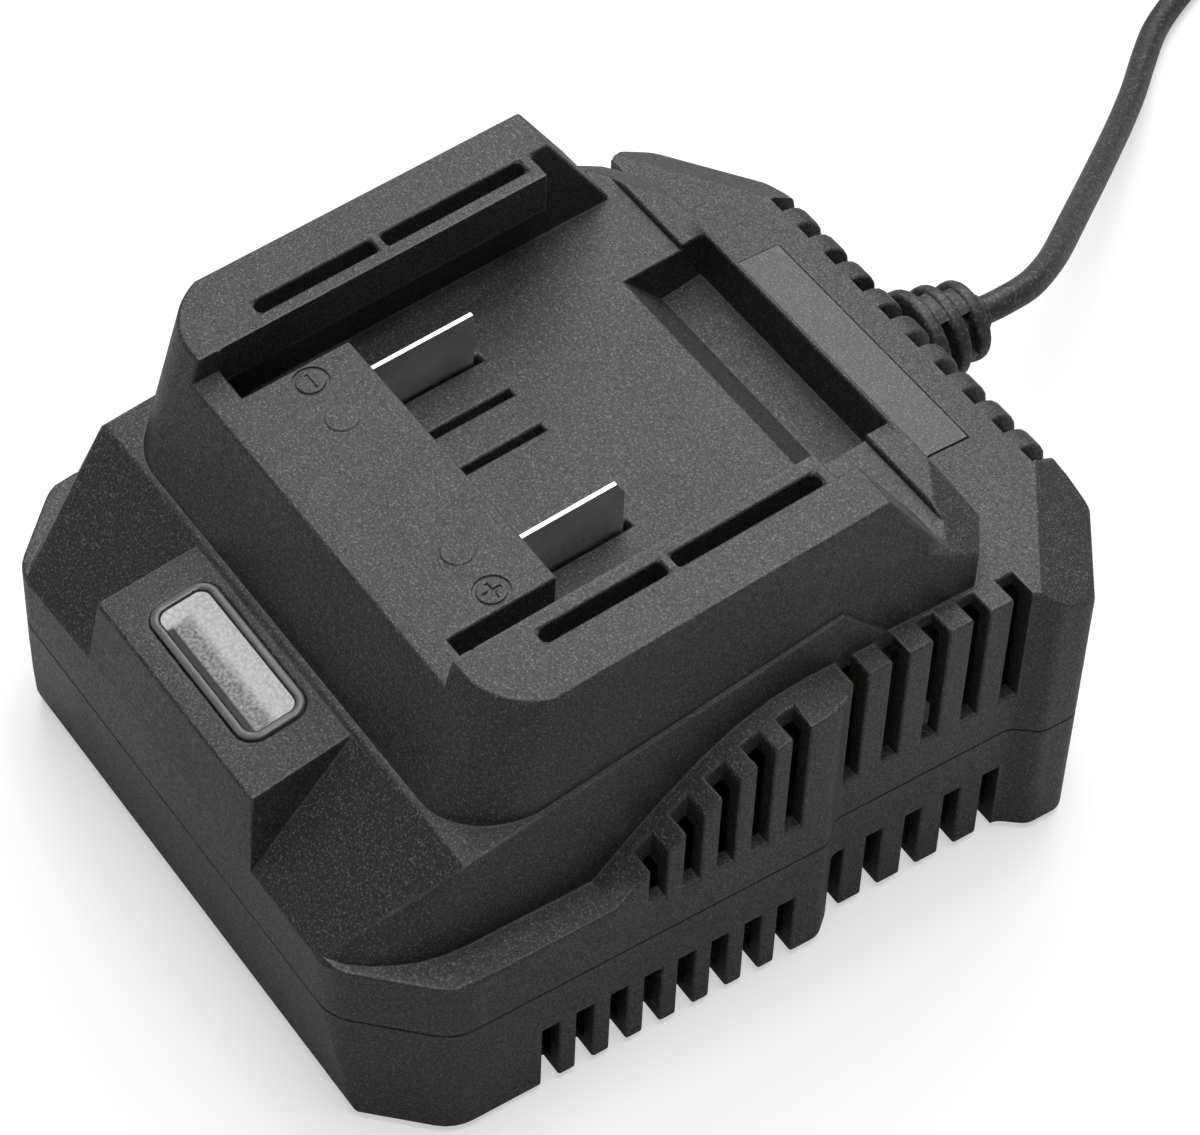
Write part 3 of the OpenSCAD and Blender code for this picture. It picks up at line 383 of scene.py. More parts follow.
wear_and_highlight_mask = math_node(edge_wear_and_highlight, "MULTIPLY", wear_and_highlight_mask, given["Amount"])
feed(edge_wear_and_highlight, wanted["Mask"], wear_and_highlight_mask)
print("group:", edge_wear_and_highlight.name)

# %% [markdown]
# A used charger is never evenly clean. This group gives a soft mask of dull patches and, in
# it, sparse specks of dust, for the roughness and the tone of the large faces.

# %% Handling marks
DULL_RANGE = (0.35, 0.7)
SPECK_SCALE = 1300.0
SPECK_RANGE = (0.80, 0.86, 0.0, 0.25)

handling, given, wanted = new_group("handling", {"Scale": 45.0}, ("Dull", "Speck"))
place = object_place(handling)
dull = noise(handling, place, given["Scale"], 4.0)
specks = noise(handling, place, SPECK_SCALE, 0.0)
feed(handling, wanted["Dull"], spread_values(handling, dull, *DULL_RANGE))
feed(handling, wanted["Speck"], spread_values(handling, specks, *SPECK_RANGE))
print("group:", handling.name)

# %% [markdown]
# The finishes are built from these groups. Each function below makes one family of material,
# and what is the same all over a surface is set on the shader's own socket. Plastic takes all
# three groups, clear plastic and glass only a tint that varies a little, and metal has fine
# lines along one direction with a stain over them.

# %% Material families
DUST = (0.16, 0.155, 0.15)
DULL_ROUGHNESS = 0.07
RUBBED_AND_HIGHLIT_LIFT = (2.4, 0.03)
PAINTED_GLINT_LIFT = (2.6, 0.02)
LINE_RANGE = (0.3, 0.7)
LINE_ROUGHNESS = (-0.08, 0.12)
STAIN_SCALE = 120.0
STAIN_RANGE = (0.35, 0.75)
STAIN_SHARE = 0.72


def new_material(name, roughness=0.5, metallic=0.0, **sockets):
    """A principled material with constants on its own sockets, and the sockets themselves."""
    material = bpy.data.materials.new(name)
    material.use_nodes = True
    shader = material.node_tree.nodes["Principled BSDF"].inputs
    constants = {"Roughness": roughness, "Metallic": metallic, **sockets}
    for label, value in constants.items():
        shader[label.replace("_", " ")].default_value = value
    return material, material.node_tree, shader


def group_node(tree, group, **values):
    """The outputs of a node group that is placed with its own values."""
    node = tree.nodes.new("ShaderNodeGroup")
    node.node_tree = group
    for label, value in values.items():
        node.inputs[label].default_value = value
    return node.outputs


def mix_colours(tree, factor, first, second):
    """Mixes two colours, each a socket or three numbers."""
    node = tree.nodes.new("ShaderNodeMix")
    node.data_type = "RGBA"
    feed(tree, node.inputs["Factor"], factor)
    for socket, colour in ((node.inputs[6], first), (node.inputs[7], second)):
        feed(tree, socket, (*colour, 1.0) if isinstance(colour, tuple) else colour)
    return node.outputs[2]


def add_bump(tree, shader, height, depth):
    """Drives the shader's normal with a height in metres."""
    bump = add_node(tree, "ShaderNodeBump", Distance=depth, Strength=1.0, Height=height)
    feed(tree, shader["Normal"], bump.outputs["Normal"])


def lightened(colour, factor, lift):
    """A colour made lighter, up to white."""
    return tuple(min(1.0, c * factor + lift) for c in colour)


def grained_plastic(name, dark, light, roughness, grain, depth, wear_and_highlight=0.5, spread=0.10):
    """Moulded plastic or rubber: mould texture, painted glints, worn and painted-highlit edges,
    handling marks.
    """
    material, tree, shader = new_material(name)
    texture = group_node(tree, mould_texture, Scale=grain)
    marks = group_node(tree, handling)
    edges = group_node(tree, edge_wear_and_highlight, Amount=wear_and_highlight)
    colour = mix_colours(tree, texture["Tone"], dark, light)
    # edges lightened: partly wear, partly a painted highlight where light catches them
    colour = mix_colours(tree, edges["Mask"], colour, lightened(light, *RUBBED_AND_HIGHLIT_LIFT))
    # painted glints: sparkles of light painted into the colour at the texture's peaks
    colour = mix_colours(tree, texture["Painted Glint"], colour, lightened(light, *PAINTED_GLINT_LIFT))
    feed(tree, shader["Base Color"], mix_colours(tree, marks["Speck"], colour, DUST))
    rough = spread_values(tree, texture["Tone"], 0.0, 1.0, roughness + spread, roughness - spread)
    duller = math_node(tree, "MULTIPLY", marks["Dull"], DULL_ROUGHNESS)
    feed(tree, shader["Roughness"], math_node(tree, "ADD", rough, duller))
    add_bump(tree, shader, texture["Height"], depth)
    return material


def tinted(name, grain, dark, light, roughness, **sockets):
    """Clear plastic or glass whose tint varies a little."""
    material, tree, shader = new_material(name, roughness, **sockets)
    texture = group_node(tree, mould_texture, Scale=grain)
    feed(tree, shader["Base Color"], mix_colours(tree, texture["Tone"], dark, light))
    return material, tree, shader, texture


def metal(name, colour, roughness, stretch, scale=900.0, depth=0.000004):
    """Sheet or turned metal with fine lines along one direction."""
    material, tree, shader = new_material(name, metallic=1.0)
    place = object_place(tree)
    along = add_node(tree, "ShaderNodeMapping", Vector=place, Scale=stretch)
    lines = noise(tree, along.outputs["Vector"], scale, 3.0)
    stain = spread_values(tree, noise(tree, place, STAIN_SCALE, 3.0), *STAIN_RANGE)
    duller = tuple(c * STAIN_SHARE for c in colour)
    feed(tree, shader["Base Color"], mix_colours(tree, stain, colour, duller))
    rough = (roughness + change for change in LINE_ROUGHNESS)
    feed(tree, shader["Roughness"], spread_values(tree, lines, *LINE_RANGE, *rough))
    add_bump(tree, shader, lines, depth)
    return material


print("families: grained plastic, tinted, metal")

# %% [markdown]
# The housing is black ABS with a matt texture; its slight sparkle is painted glints. The other
# plastics and rubbers differ in tone, gloss and in the size of their texture. Each line states
# the darkest and the lightest tone, the roughness, the texture's scale and depth, the edge wear
# and painted edge highlight, and how much the roughness varies.

# %% Plastics and rubbers
housing_black = grained_plastic(
    "black housing", (0.014, 0.014, 0.0145), (0.042, 0.042, 0.043), 0.45, 2700.0, 0.00008, 0.9)
inner_black = grained_plastic(
    "black inside", (0.008, 0.008, 0.008), (0.016, 0.016, 0.016), 0.6, 2200.0, 0.00002, 0.1)
foot_rubber = grained_plastic(
    "foot rubber", (0.018, 0.018, 0.019), (0.034, 0.034, 0.035), 0.75, 1600.0, 0.00002, 0.4, 0.05)
lead_rubber = grained_plastic(
    "lead jacket", (0.020, 0.020, 0.021), (0.034, 0.034, 0.035), 0.46, 1500.0, 0.00001, 0.0, 0.06)
plug_black = grained_plastic(
    "plug plastic", (0.018, 0.018, 0.019), (0.034, 0.034, 0.035), 0.4, 2200.0, 0.00002, 0.4)
label_black = grained_plastic(
    "label plate", (0.030, 0.030, 0.031), (0.046, 0.046, 0.047), 0.33, 2400.0, 0.000008, 0.5, 0.04)
diffuser_white = grained_plastic(
    "milky diffuser", (0.66, 0.66, 0.64), (0.80, 0.80, 0.78), 0.45, 2000.0, 0.00001, 0.0)
bobbin_yellow = grained_plastic(
    "bobbin plastic", (0.15, 0.12, 0.03), (0.20, 0.165, 0.045), 0.5, 1800.0, 0.00002, 0.3)
chip_black = grained_plastic(
    "moulded epoxy", (0.014, 0.014, 0.015), (0.030, 0.030, 0.032), 0.5, 2600.0, 0.00002, 0.4)
print("plastics:", len(bpy.data.materials))

# %% [markdown]
# The window over the lamps has two finishes: a clear polished rim that shows the dark recess
# below it, and a frosted middle. The frosted middle is opaque, and its colour paints the light
# and shade there: painted light where the milky diffuser lies below it, at its rear and at both
# ends, a speckled pad in front, and before the pad a dark band of painted shadow along the
# step. Object coordinates tell the places apart.

# %% Window, glass and cap finishes
LIT_FROST_Y = (-0.0532, -0.0518)
SHADE_BAND_Y = (-0.0553, -0.0550)
LIT_FROST_LEFT_X = (-0.0098, -0.0106)
LIT_FROST_RIGHT_X = (0.0113, 0.0118)
PAINTED_SHADE_TONE = (0.015, 0.015, 0.015)
PAD_TONES = ((0.10, 0.10, 0.10), (0.40, 0.40, 0.39))
PAINTED_LIGHT_TONES = ((0.46, 0.46, 0.46), (0.70, 0.70, 0.69))

clear_rim = tinted("clear rim", 500.0, (0.20, 0.21, 0.21), (0.26, 0.27, 0.27), 0.14,
                   IOR=1.49, Transmission_Weight=0.45)[0]
lamp_cap = tinted("lamp cap", 700.0, (0.78, 0.76, 0.55), (0.88, 0.87, 0.72), 0.2,
                  IOR=1.5, Transmission_Weight=0.4)[0]
fuse_glass, tree, shader, texture = tinted(
    "fuse glass", 400.0, (0.86, 0.90, 0.89), (0.94, 0.96, 0.96), 0.04,
    IOR=1.5, Transmission_Weight=1.0)
add_bump(tree, shader, texture["Height"], 0.000004)

frosted, tree, shader = new_material("frosted window", IOR=1.49)
texture = group_node(tree, mould_texture, Scale=2600.0)
apart = add_node(tree, "ShaderNodeSeparateXYZ", Vector=object_place(tree)).outputs
# painted light: bright where the milky diffuser lies below the frost, at the rear and the ends
lit_part = spread_values(tree, apart["Y"], *LIT_FROST_Y)
for limits in (LIT_FROST_LEFT_X, LIT_FROST_RIGHT_X):
    lit_part = math_node(tree, "MAXIMUM", lit_part, spread_values(tree, apart["X"], *limits))
# painted shadow: a dark band at the front edge, where the step shades the frost
behind_shade_band = spread_values(tree, apart["Y"], *SHADE_BAND_Y)
pad = mix_colours(tree, behind_shade_band, PAINTED_SHADE_TONE, mix_colours(tree, texture["Tone"], *PAD_TONES))
painted_light = mix_colours(tree, texture["Tone"], *PAINTED_LIGHT_TONES)
feed(tree, shader["Base Color"], mix_colours(tree, lit_part, pad, painted_light))
feed(tree, shader["Roughness"], spread_values(tree, texture["Tone"], 0.0, 1.0, 0.60, 0.42))
add_bump(tree, shader, texture["Height"], 0.00003)
print("clear materials: rim, cap, glass, frost")

# %% [markdown]
# The metals are mostly sheet: nickel-plated blades and pins with fine rolling lines, zinc
# plated screws, plain aluminium heat sinks. The ferrite core, the sleeves and the board are
# not metal, but their finishes are built in the same way, from a noise or a pattern.

# %% Metals, board and windings
WINDING_SCALE = 480.0
TRACK_SCALE = 130.0

blade_nickel = metal("nickel plate", (0.80, 0.79, 0.77), 0.30, (1.0, 0.08, 1.0))
screw_zinc = metal("zinc plate", (0.56, 0.56, 0.57), 0.36, (1.0, 1.0, 0.3))
sink_aluminium = metal("plain aluminium", (0.62, 0.62, 0.63), 0.42, (1.0, 0.06, 1.0))
ferrite_grey = grained_plastic(
    "ferrite", (0.035, 0.035, 0.038), (0.075, 0.075, 0.08), 0.6, 1300.0, 0.00004, 0.6)
sleeve_blue = grained_plastic(
    "capacitor sleeve", (0.030, 0.030, 0.075), (0.045, 0.045, 0.10), 0.32, 1200.0, 0.000006, 0.2)
wire_brown = grained_plastic(
    "wire insulation", (0.09, 0.040, 0.030), (0.13, 0.065, 0.050), 0.42, 1500.0, 0.000006, 0.0)
ribbon_grey = grained_plastic(
    "ribbon cable", (0.42, 0.42, 0.42), (0.52, 0.52, 0.52), 0.5, 1500.0, 0.00001, 0.0)

copper_turns, tree, shader = new_material("enamelled copper", 0.3, 0.85)
wave = add_node(tree, "ShaderNodeTexWave", Vector=object_place(tree), Scale=WINDING_SCALE,
                Distortion=0.4)
wave.bands_direction = "Z"
feed(tree, shader["Base Color"],
     mix_colours(tree, wave.outputs["Fac"], (0.20, 0.08, 0.03), (0.62, 0.30, 0.12)))
add_bump(tree, shader, wave.outputs["Fac"], 0.0001)

solder_mask, tree, shader = new_material("circuit board", 0.4)
tracks = add_node(tree, "ShaderNodeTexBrick", Vector=object_place(tree), Scale=TRACK_SCALE,
                  Mortar_Size=0.09, Color1=(0.004, 0.030, 0.014, 1),
                  Color2=(0.006, 0.038, 0.018, 1), Mortar=(0.012, 0.070, 0.030, 1))
feed(tree, shader["Base Color"], tracks.outputs["Color"])
add_bump(tree, shader, tracks.outputs["Fac"], 0.00004)
print("materials:", len(bpy.data.materials))

# %% [markdown]
# A CAD solid arrives as loose triangles with knife-sharp edges, and no moulded part has
# those. First a node's mesh is copied and joined, and its flat faces are put together. An edge
# can only be rounded as far as its neighbours leave room, so a helper measures that too.

# %% Copies of the solids
MERGE_GAP = 0.000004
FLAT_TURN = math.radians(1.0)
NEIGHBOUR_SHARE = 0.45
CROSSING_DOT = 0.75


def merged_copy(node_name, whole=False):
    """A CAD node's mesh with its triangles joined, and its flat faces whole on request."""
    work = bmesh.new()
    work.from_mesh(bpy.data.objects[node_name].data)
    bmesh.ops.remove_doubles(work, verts=work.verts, dist=MERGE_GAP)
    bmesh.ops.dissolve_degenerate(work, edges=work.edges, dist=MERGE_GAP / 4)
    bmesh.ops.dissolve_limit(work, angle_limit=FLAT_TURN, verts=work.verts, edges=work.edges)
    if not whole:
        bmesh.ops.triangulate(work, faces=[face for face in work.faces if len(face.verts) > 4])
    return work


def stored(work, mesh):
    """Writes an edited mesh to its data and frees it."""
    work.to_mesh(mesh)
    work.free()
    return mesh


def face_width(face):
    """Roughly how broad a face is: its area over its longest edge."""
    return face.calc_area() / max(edge.calc_length() for edge in face.edges)


def room_at(edge):
    """The widest bevel that the edges crossing at both ends leave room for."""
    along = (edge.verts[1].co - edge.verts[0].co).normalized()
    room = 1.0
    for other in (other for vertex in edge.verts for other in vertex.link_edges):
        line = other.verts[1].co - other.verts[0].co
        crossing = line.length > 0 and abs(line.normalized().dot(along)) < CROSSING_DOT
        if crossing and other is not edge:
            room = min(room, NEIGHBOUR_SHARE * line.length)
    return room


print("joined within", MERGE_GAP, "m")

# %% [markdown]
# A modifier is the plainest way to round edges and to set normals, since it does in one step
# what a modeller does by hand. Each runs on a throwaway object, and only its result is kept.
# A bevel can fold a small face over its neighbour: such a face is closed at its shortest side.

# %% Modifiers, sharp edges and folds
FOLDED_DOT = -0.99


def evaluated_mesh(holder):
    """The mesh that an object's modifiers make, as plain data, and the object removed."""
    graph = bpy.context.evaluated_depsgraph_get()
    result = bpy.data.meshes.new_from_object(holder.evaluated_get(graph), depsgraph=graph)
    bpy.data.objects.remove(holder)
    return result


def modified(name, mesh, kind, **settings):
    """Runs one modifier over a mesh and returns the result."""
    holder = new_object(name, mesh)
    modifier = holder.modifiers.new(kind.lower(), kind)
    for label, value in settings.items():
        setattr(modifier, label, value)
    return evaluated_mesh(holder)


def mark_sharp(work, turn):
    """Makes every edge past a turn sharp."""
    for edge in work.edges:
        if len(edge.link_faces) != 2 or edge.calc_face_angle(0.0) > turn:
            edge.smooth = False


def close_folds(work):
    """Closes each small face that lies folded over its neighbour, at its shortest side."""
    work.normal_update()
    closing = set()
    for face in work.faces:
        area = face.calc_area()
        for other in (other for edge in face.edges for other in edge.link_faces):
            if other.normal.dot(face.normal) < FOLDED_DOT and other.calc_area() > area:
                closing.add(min(face.edges, key=lambda side: side.calc_length()))
    bmesh.ops.collapse(work, edges=list(closing), uvs=False)
    work.normal_update()
    return len(closing)


print("a face counts as folded from a dot product of", FOLDED_DOT)

# %% [markdown]
# Every convex edge gets a bevel weight, so that one Bevel modifier can round each edge by its
# own radius. The normals are then weighted by area, which keeps broad faces flat and lets the
# narrow bevels carry the shine.

# %% Softened pieces
ROUND_STEPS = 3
FINE_TURN = math.radians(24.0)
BROAD_TURN = math.radians(6.0)
BROAD_FACE = 0.003
LEAST_RADIUS = 0.00005
SHARP_TURN = math.radians(38.0)


def softened_mesh(work, name, radius, radius_at=None, widest=None):
    """Rounds the convex edges of a mesh and shades it, and returns plain data."""
    widest = widest or radius
    weights = work.edges.layers.float.new("bevel_weight_edge")
    rounded_edges = 0
    for edge in work.edges:
        if len(edge.link_faces) != 2:
            continue
        turn = edge.calc_face_angle_signed(0.0)
        wanted = radius_at(edge, radius) if radius_at else radius
        broad = min(face_width(face) for face in edge.link_faces) > BROAD_FACE
        if abs(turn) < (BROAD_TURN if broad else FINE_TURN):
            continue
        allowed = min(abs(wanted), room_at(edge))
        if (turn > 0) == (wanted > 0) and allowed > LEAST_RADIUS:
            edge[weights] = allowed / widest
            rounded_edges += 1
        else:
            edge.smooth = False
    mesh = modified(name, stored(work, bpy.data.meshes.new(name)), "BEVEL",
                    limit_method="WEIGHT", width=widest, segments=ROUND_STEPS,
                    use_clamp_overlap=False, loop_slide=False)
    work = bmesh.new()
    work.from_mesh(mesh)
    closed = close_folds(work)
    for face in work.faces:
        face.smooth = True
    mark_sharp(work, SHARP_TURN)
    result = modified(name, stored(work, mesh), "WEIGHTED_NORMAL", keep_sharp=True, weight=100)
    print(name, "rounded edges:", rounded_edges, "faces:", len(result.polygons), "folds:", closed)
    return result


def add_piece(name, mesh, materials, stands_for):
    """Links a finished mesh as a piece that rides on the body and stands for CAD nodes."""
    piece = new_object(name, mesh)
    finish_of_face = [polygon.material_index for polygon in mesh.polygons]
    mesh.materials.clear()
    for material in materials:
        mesh.materials.append(material)
    mesh.polygons.foreach_set("material_index", finish_of_face)
    if stands_for:
        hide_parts(*stands_for)
    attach(piece, "root")
    return piece


def soft_piece(name, node_name, finish, radius, slot_name, *rounding):
    """A CAD node with softened edges, as a piece of one finish."""
    mesh = softened_mesh(merged_copy(node_name), name, radius, *rounding)
    return add_piece(name, mesh, [finish], [node_name])


print("rounding steps:", ROUND_STEPS)

# %% [markdown]
# The two shells are the largest pieces. On a real charger their outer edges have a clear
# radius from the mould and the inner ones hardly any, and where the shells meet, two small
# radii make the dark parting line. The function reads an edge's place and gives its radius.

# %% Upper and lower shell
NEAR = 0.0002
LEVEL_RISE = 0.0001
UPRIGHT_SHARE = 0.9
JOINT_Z = 0.0216
BODY_HALF_X = 0.0532
BODY_HALF_Y = 0.0626
SHELL_RADIUS = 0.00045
PARTING_RADIUS = 0.00040
WEB_RADIUS = 0.0009
WEB_LENGTH = 0.0060
WEB_LOW = 0.030
SLOT_X = (0.0335, 0.0364)
SLOT_LOW = 0.052
SLOT_END_RADIUS = 0.0012
PLATE_BED_LOW = 0.0490
PLATE_CORNER = 0.0034
PLATE_CORNER_PLACE = Vector((-0.0226, 0.0530))
PLATE_CORNER_REACH = 0.0006


def edge_line(edge):
    """The middle of an edge, its rise and its length."""
    first, second = (vertex.co for vertex in edge.verts)
    return (first + second) / 2, abs(first.z - second.z), (second - first).length


def near_plate_corner(middle):
    """Whether a point is at the rounded corner of the rating plate's bed."""
    return (Vector((middle.x, middle.y)) - PLATE_CORNER_PLACE).length < PLATE_CORNER_REACH


def shell_radius(edge, usual):
    """The radius of a housing edge from its place; it is negative for a hollow edge."""
    middle, rise, length = edge_line(edge)
    upright = rise > UPRIGHT_SHARE * length
    if abs(middle.z - JOINT_Z) < NEAR:
        return PARTING_RADIUS
    if upright and middle.z > SLOT_LOW and SLOT_X[0] < abs(middle.x) < SLOT_X[1]:
        return -SLOT_END_RADIUS
    if upright and middle.z > PLATE_BED_LOW and near_plate_corner(middle):
        return -PLATE_CORNER
    on_side = abs(middle.x) > BODY_HALF_X - NEAR or abs(middle.y) > BODY_HALF_Y - NEAR
    if on_side and rise < LEVEL_RISE and middle.z > WEB_LOW and length < WEB_LENGTH:
        return WEB_RADIUS
    return usual


upper_shell = soft_piece("upper_shell", "upper_housing", housing_black, SHELL_RADIUS,
                         "housing_plastic", shell_radius, PLATE_CORNER)
soft_piece("lower_shell", "lower_housing", housing_black, SHELL_RADIUS,
           "housing_plastic", shell_radius, WEB_RADIUS)

# %% [markdown]
# The terminal block, its two blades and the small clamp inside are handled the same way, with
# the radius that each process gives: a stamped blade has a fraction of what a moulding has.

# %% Terminal block, blades and clamp
BLADE_RADIUS = 0.00012
for part in (("terminal_block", "terminal_carrier", housing_black, 0.0004, "housing_plastic"),
             ("cord_saddle", "cord_clamp", inner_black, 0.0003, "housing_plastic"),
             ("negative_contact", "negative_blade", blade_nickel, BLADE_RADIUS, "contact_metal"),
             ("positive_contact", "positive_blade", blade_nickel, BLADE_RADIUS, "contact_metal")):
    soft_piece(*part)

# %% [markdown]
# Many small shapes are rows of rings with a skin over them. Round parts are turned: a profile
# of radius and height is carried round an axis. The small lathe makes the strain relief, the
# feet and the capacitors. Its first and last points lie on the axis, so the shape is closed
# at both poles.

# %% Rings and lathe
LATHE_STEPS = 40
SOFT_TURN = math.radians(40)


def circle(radius, height, steps):
    """Points of a level circle about Z, or its one pole."""
    angles = (2 * math.pi * i / steps for i in range(steps if radius > 0 else 1))
    return [(radius * math.cos(a), radius * math.sin(a), height) for a in angles]


def skin(target, rings, loop=False, smooth=True):
    """Joins rings of points with faces, and closes both ends unless the row is a loop."""
    made = [[target.verts.new(point) for point in ring] for ring in rings]
    steps = max(len(ring) for ring in made)
    faces = [] if loop else [end for end in (made[0], made[-1]) if len(end) > 1]
    for ring, other in zip(made, made[1:] + (made[:1] if loop else [])):
        for i in range(steps):
            j = (i + 1) % steps
            corners = (ring[i % len(ring)], ring[j % len(ring)],
                       other[j % len(other)], other[i % len(other)])
            faces.append(list(dict.fromkeys(corners)))
    for corners in faces:
        target.faces.new(corners).smooth = smooth
    bmesh.ops.recalc_face_normals(target, faces=target.faces)
    return target


def turned(profile, steps=LATHE_STEPS):
    """A closed mesh turned about Z from (radius, height) points, with radius 0 at both ends."""
    return skin(bmesh.new(), [circle(radius, height, steps) for radius, height in profile])


def merge_into(target, work, matrix):
    """Adds a mesh to another at a place, and frees it."""
    work.transform(matrix)
    made = {vertex: target.verts.new(vertex.co) for vertex in work.verts}
    for face in work.faces:
        copy = target.faces.new([made[vertex] for vertex in face.verts])
        copy.smooth = face.smooth
        copy.material_index = face.material_index
    work.free()


def finished_mesh(work, name, sharp=SOFT_TURN):
    """Plain mesh data with smooth shading up to a sharp angle."""
    mark_sharp(work, sharp)
    return stored(work, bpy.data.meshes.new(name))


def quarter_arc(x, y, radius, start, steps):
    """Points of a quarter circle from an angle in degrees."""
    angles = (math.radians(start + 90 * step / steps) for step in range(steps + 1))
    return [(x + radius * math.cos(a), y + radius * math.sin(a)) for a in angles]


def rounded_rim(radius, low, high, round_off, steps=4):
    """The points of a turned rim with rounded corners, from low to high."""
    centre = radius - round_off
    return (quarter_arc(centre, low + round_off, round_off, -90, steps)
            + quarter_arc(centre, high - round_off, round_off, 0, steps))


print("lathe steps:", LATHE_STEPS)

# %% [markdown]
# Two round ejector marks show on the contact block, where pins pushed the moulding out of its
# mould. Each is a disc a fifth of a millimetre proud, laid on the slope: a ray cast straight
# down on the finished shell gives its height and its tilt.

# %% Ejector marks
MARK_RADIUS = 0.0024
MARK_HEIGHT = 0.00020
MARK_STEPS = 28
MARK_PLACES = ((-0.0142, -0.0257), (0.0142, -0.0257))
MARK_PROFILE = ((MARK_RADIUS, -MARK_HEIGHT), (MARK_RADIUS, MARK_HEIGHT * 0.4),
                (MARK_RADIUS - MARK_HEIGHT, MARK_HEIGHT))
ABOVE_ALL = 0.2

marks_work = bmesh.new()
for x, y in MARK_PLACES:
    spot, normal = upper_shell.ray_cast(Vector((x, y, ABOVE_ALL)), Vector((0, 0, -1)))[1:3]
    place = Matrix.Translation(spot) @ normal.to_track_quat("Z", "Y").to_matrix().to_4x4()
    skin(marks_work, [[place @ Vector(point) for point in circle(radius, height, MARK_STEPS)]
                      for radius, height in MARK_PROFILE], smooth=False)
    print("mark at", [round(v / MM, 1) for v in spot])
add_piece("ejector_marks", stored(marks_work, bpy.data.meshes.new("ejector_marks")),
          [housing_black], [])

# %% [markdown]
# The window is one clear moulding. Its upper face is the broadest face that looks up. It is
# inset twice: the first ring is the polished rim, the second a narrow step down, and what is
# left is the frosted middle. The walls of the step take the black inside finish as painted
# shade.

# %% Status window
RIM_WIDTH = 0.0011
STEP_WIDTH = 0.0003
STEP_DEPTH = 0.00035
RIM, MIDDLE, SHADED_STEP = range(3)

window_work = merged_copy("status_lens", whole=True)
for face in window_work.faces:
    face.material_index = RIM
middle = max((face for face in window_work.faces if face.normal.z > 0.5),
             key=lambda face: face.calc_area())
bmesh.ops.inset_region(window_work, faces=[middle], thickness=RIM_WIDTH, use_even_offset=True)
before = set(window_work.faces)
bmesh.ops.inset_region(window_work, faces=[middle], thickness=STEP_WIDTH, depth=-STEP_DEPTH,
                       use_even_offset=True)
# painted shade: the step walls take the black inside finish
for face in set(window_work.faces) - before:
    face.material_index = SHADED_STEP
middle.material_index = MIDDLE
add_piece("status_window", softened_mesh(window_work, "status_window", 0.0003),
          [clear_rim, frosted, inner_black], ["status_lens"])

# %% [markdown]
# The rating plate is a thin glossy strip let into the deck. This one is bare. A fine groove
# just inside its edge catches the light as the edge of a stuck-on plate does.

# %% Blank rating plate
PLATE_GAP = 0.0001


def plate_radius(edge, usual):
    """The plate's rear left corner is round, the rest of its edges hardly."""
    middle, rise, length = edge_line(edge)
    round_corner = rise > UPRIGHT_SHARE * length and near_plate_corner(middle)
    return PLATE_CORNER - PLATE_GAP if round_corner else usual


soft_piece("rating_plate", "label_plate", label_black, 0.00012, "label_plastic",
           plate_radius, PLATE_CORNER)

# %% [markdown]
# The strain relief is one soft rubber moulding: a flange inside the wall, a neck, three ribs
# that get smaller, and a tapered nose. Three webs bridge each gap between the ribs. It keeps
# the lead from kinking where it leaves.

# %% Strain relief
RELIEF_AXIS = Vector((-0.006, 0.0, 0.037))
RELIEF_START = 0.0575
RELIEF_END = 0.0786
FLANGE_RADIUS = 0.0062
FLANGE_WIDTH = 0.0024
NECK_RADIUS = 0.0049
CORE_RADIUS = 0.0044
CORE_TAPER = 0.0003
RIB_RADII = (0.0083, 0.0073, 0.0063)
RIB_START = 0.0650
RIB_WIDTH = 0.0026
RIB_PITCH = 0.0043
RIB_ROUND = 0.0009
NOSE_RADIUS = 0.0030
NOSE_LENGTH = 0.0014
RELIEF_WEB_DEGREES = (85, 205, 325)
RELIEF_WEB_SPAN = 50
RELIEF_WEB_INNER = 0.0036
RELIEF_WEB_OVERLAP = 0.0004
RELIEF_WEB_STEPS = 6

profile = [(0, RELIEF_START)]
profile += rounded_rim(FLANGE_RADIUS, RELIEF_START, RELIEF_START + FLANGE_WIDTH, 0.0004)
profile += [(NECK_RADIUS, RELIEF_START + FLANGE_WIDTH + 0.0001),
            (NECK_RADIUS, RIB_START - 0.0006)]
for number, rib_radius in enumerate(RIB_RADII):
    start = RIB_START + number * RIB_PITCH
    core = CORE_RADIUS - CORE_TAPER * number
    profile.append((core + 0.0004, start))
    profile += rounded_rim(rib_radius, start + 0.0001, start + RIB_WIDTH, RIB_ROUND)
    profile.append((core, start + RIB_WIDTH + 0.0002))
profile.append((CORE_RADIUS - 0.0008, RELIEF_END - NOSE_LENGTH - 0.0002))
profile += rounded_rim(NOSE_RADIUS, RELIEF_END - NOSE_LENGTH, RELIEF_END, 0.0005)
profile.append((0, RELIEF_END))
relief_work = bmesh.new()
turn_to_y = Matrix.Translation(RELIEF_AXIS) @ Matrix.Rotation(math.radians(-90), 4, "X")
merge_into(relief_work, turned(profile), turn_to_y)


def relief_web(middle_degrees, outer, start, end):
    """Rings of a bridge between two ribs: sections of a sector round the axis."""
    rings = []
    for step in range(RELIEF_WEB_STEPS + 1):
        turn = RELIEF_WEB_SPAN * (step / RELIEF_WEB_STEPS - 0.5)
        angle = math.radians(middle_degrees + turn)
        rings.append([(RELIEF_AXIS.x + radius * math.cos(angle), y,
                       RELIEF_AXIS.z + radius * math.sin(angle))
                      for radius, y in ((RELIEF_WEB_INNER, start), (outer, start),
                                        (outer, end), (RELIEF_WEB_INNER, end))])
    return rings


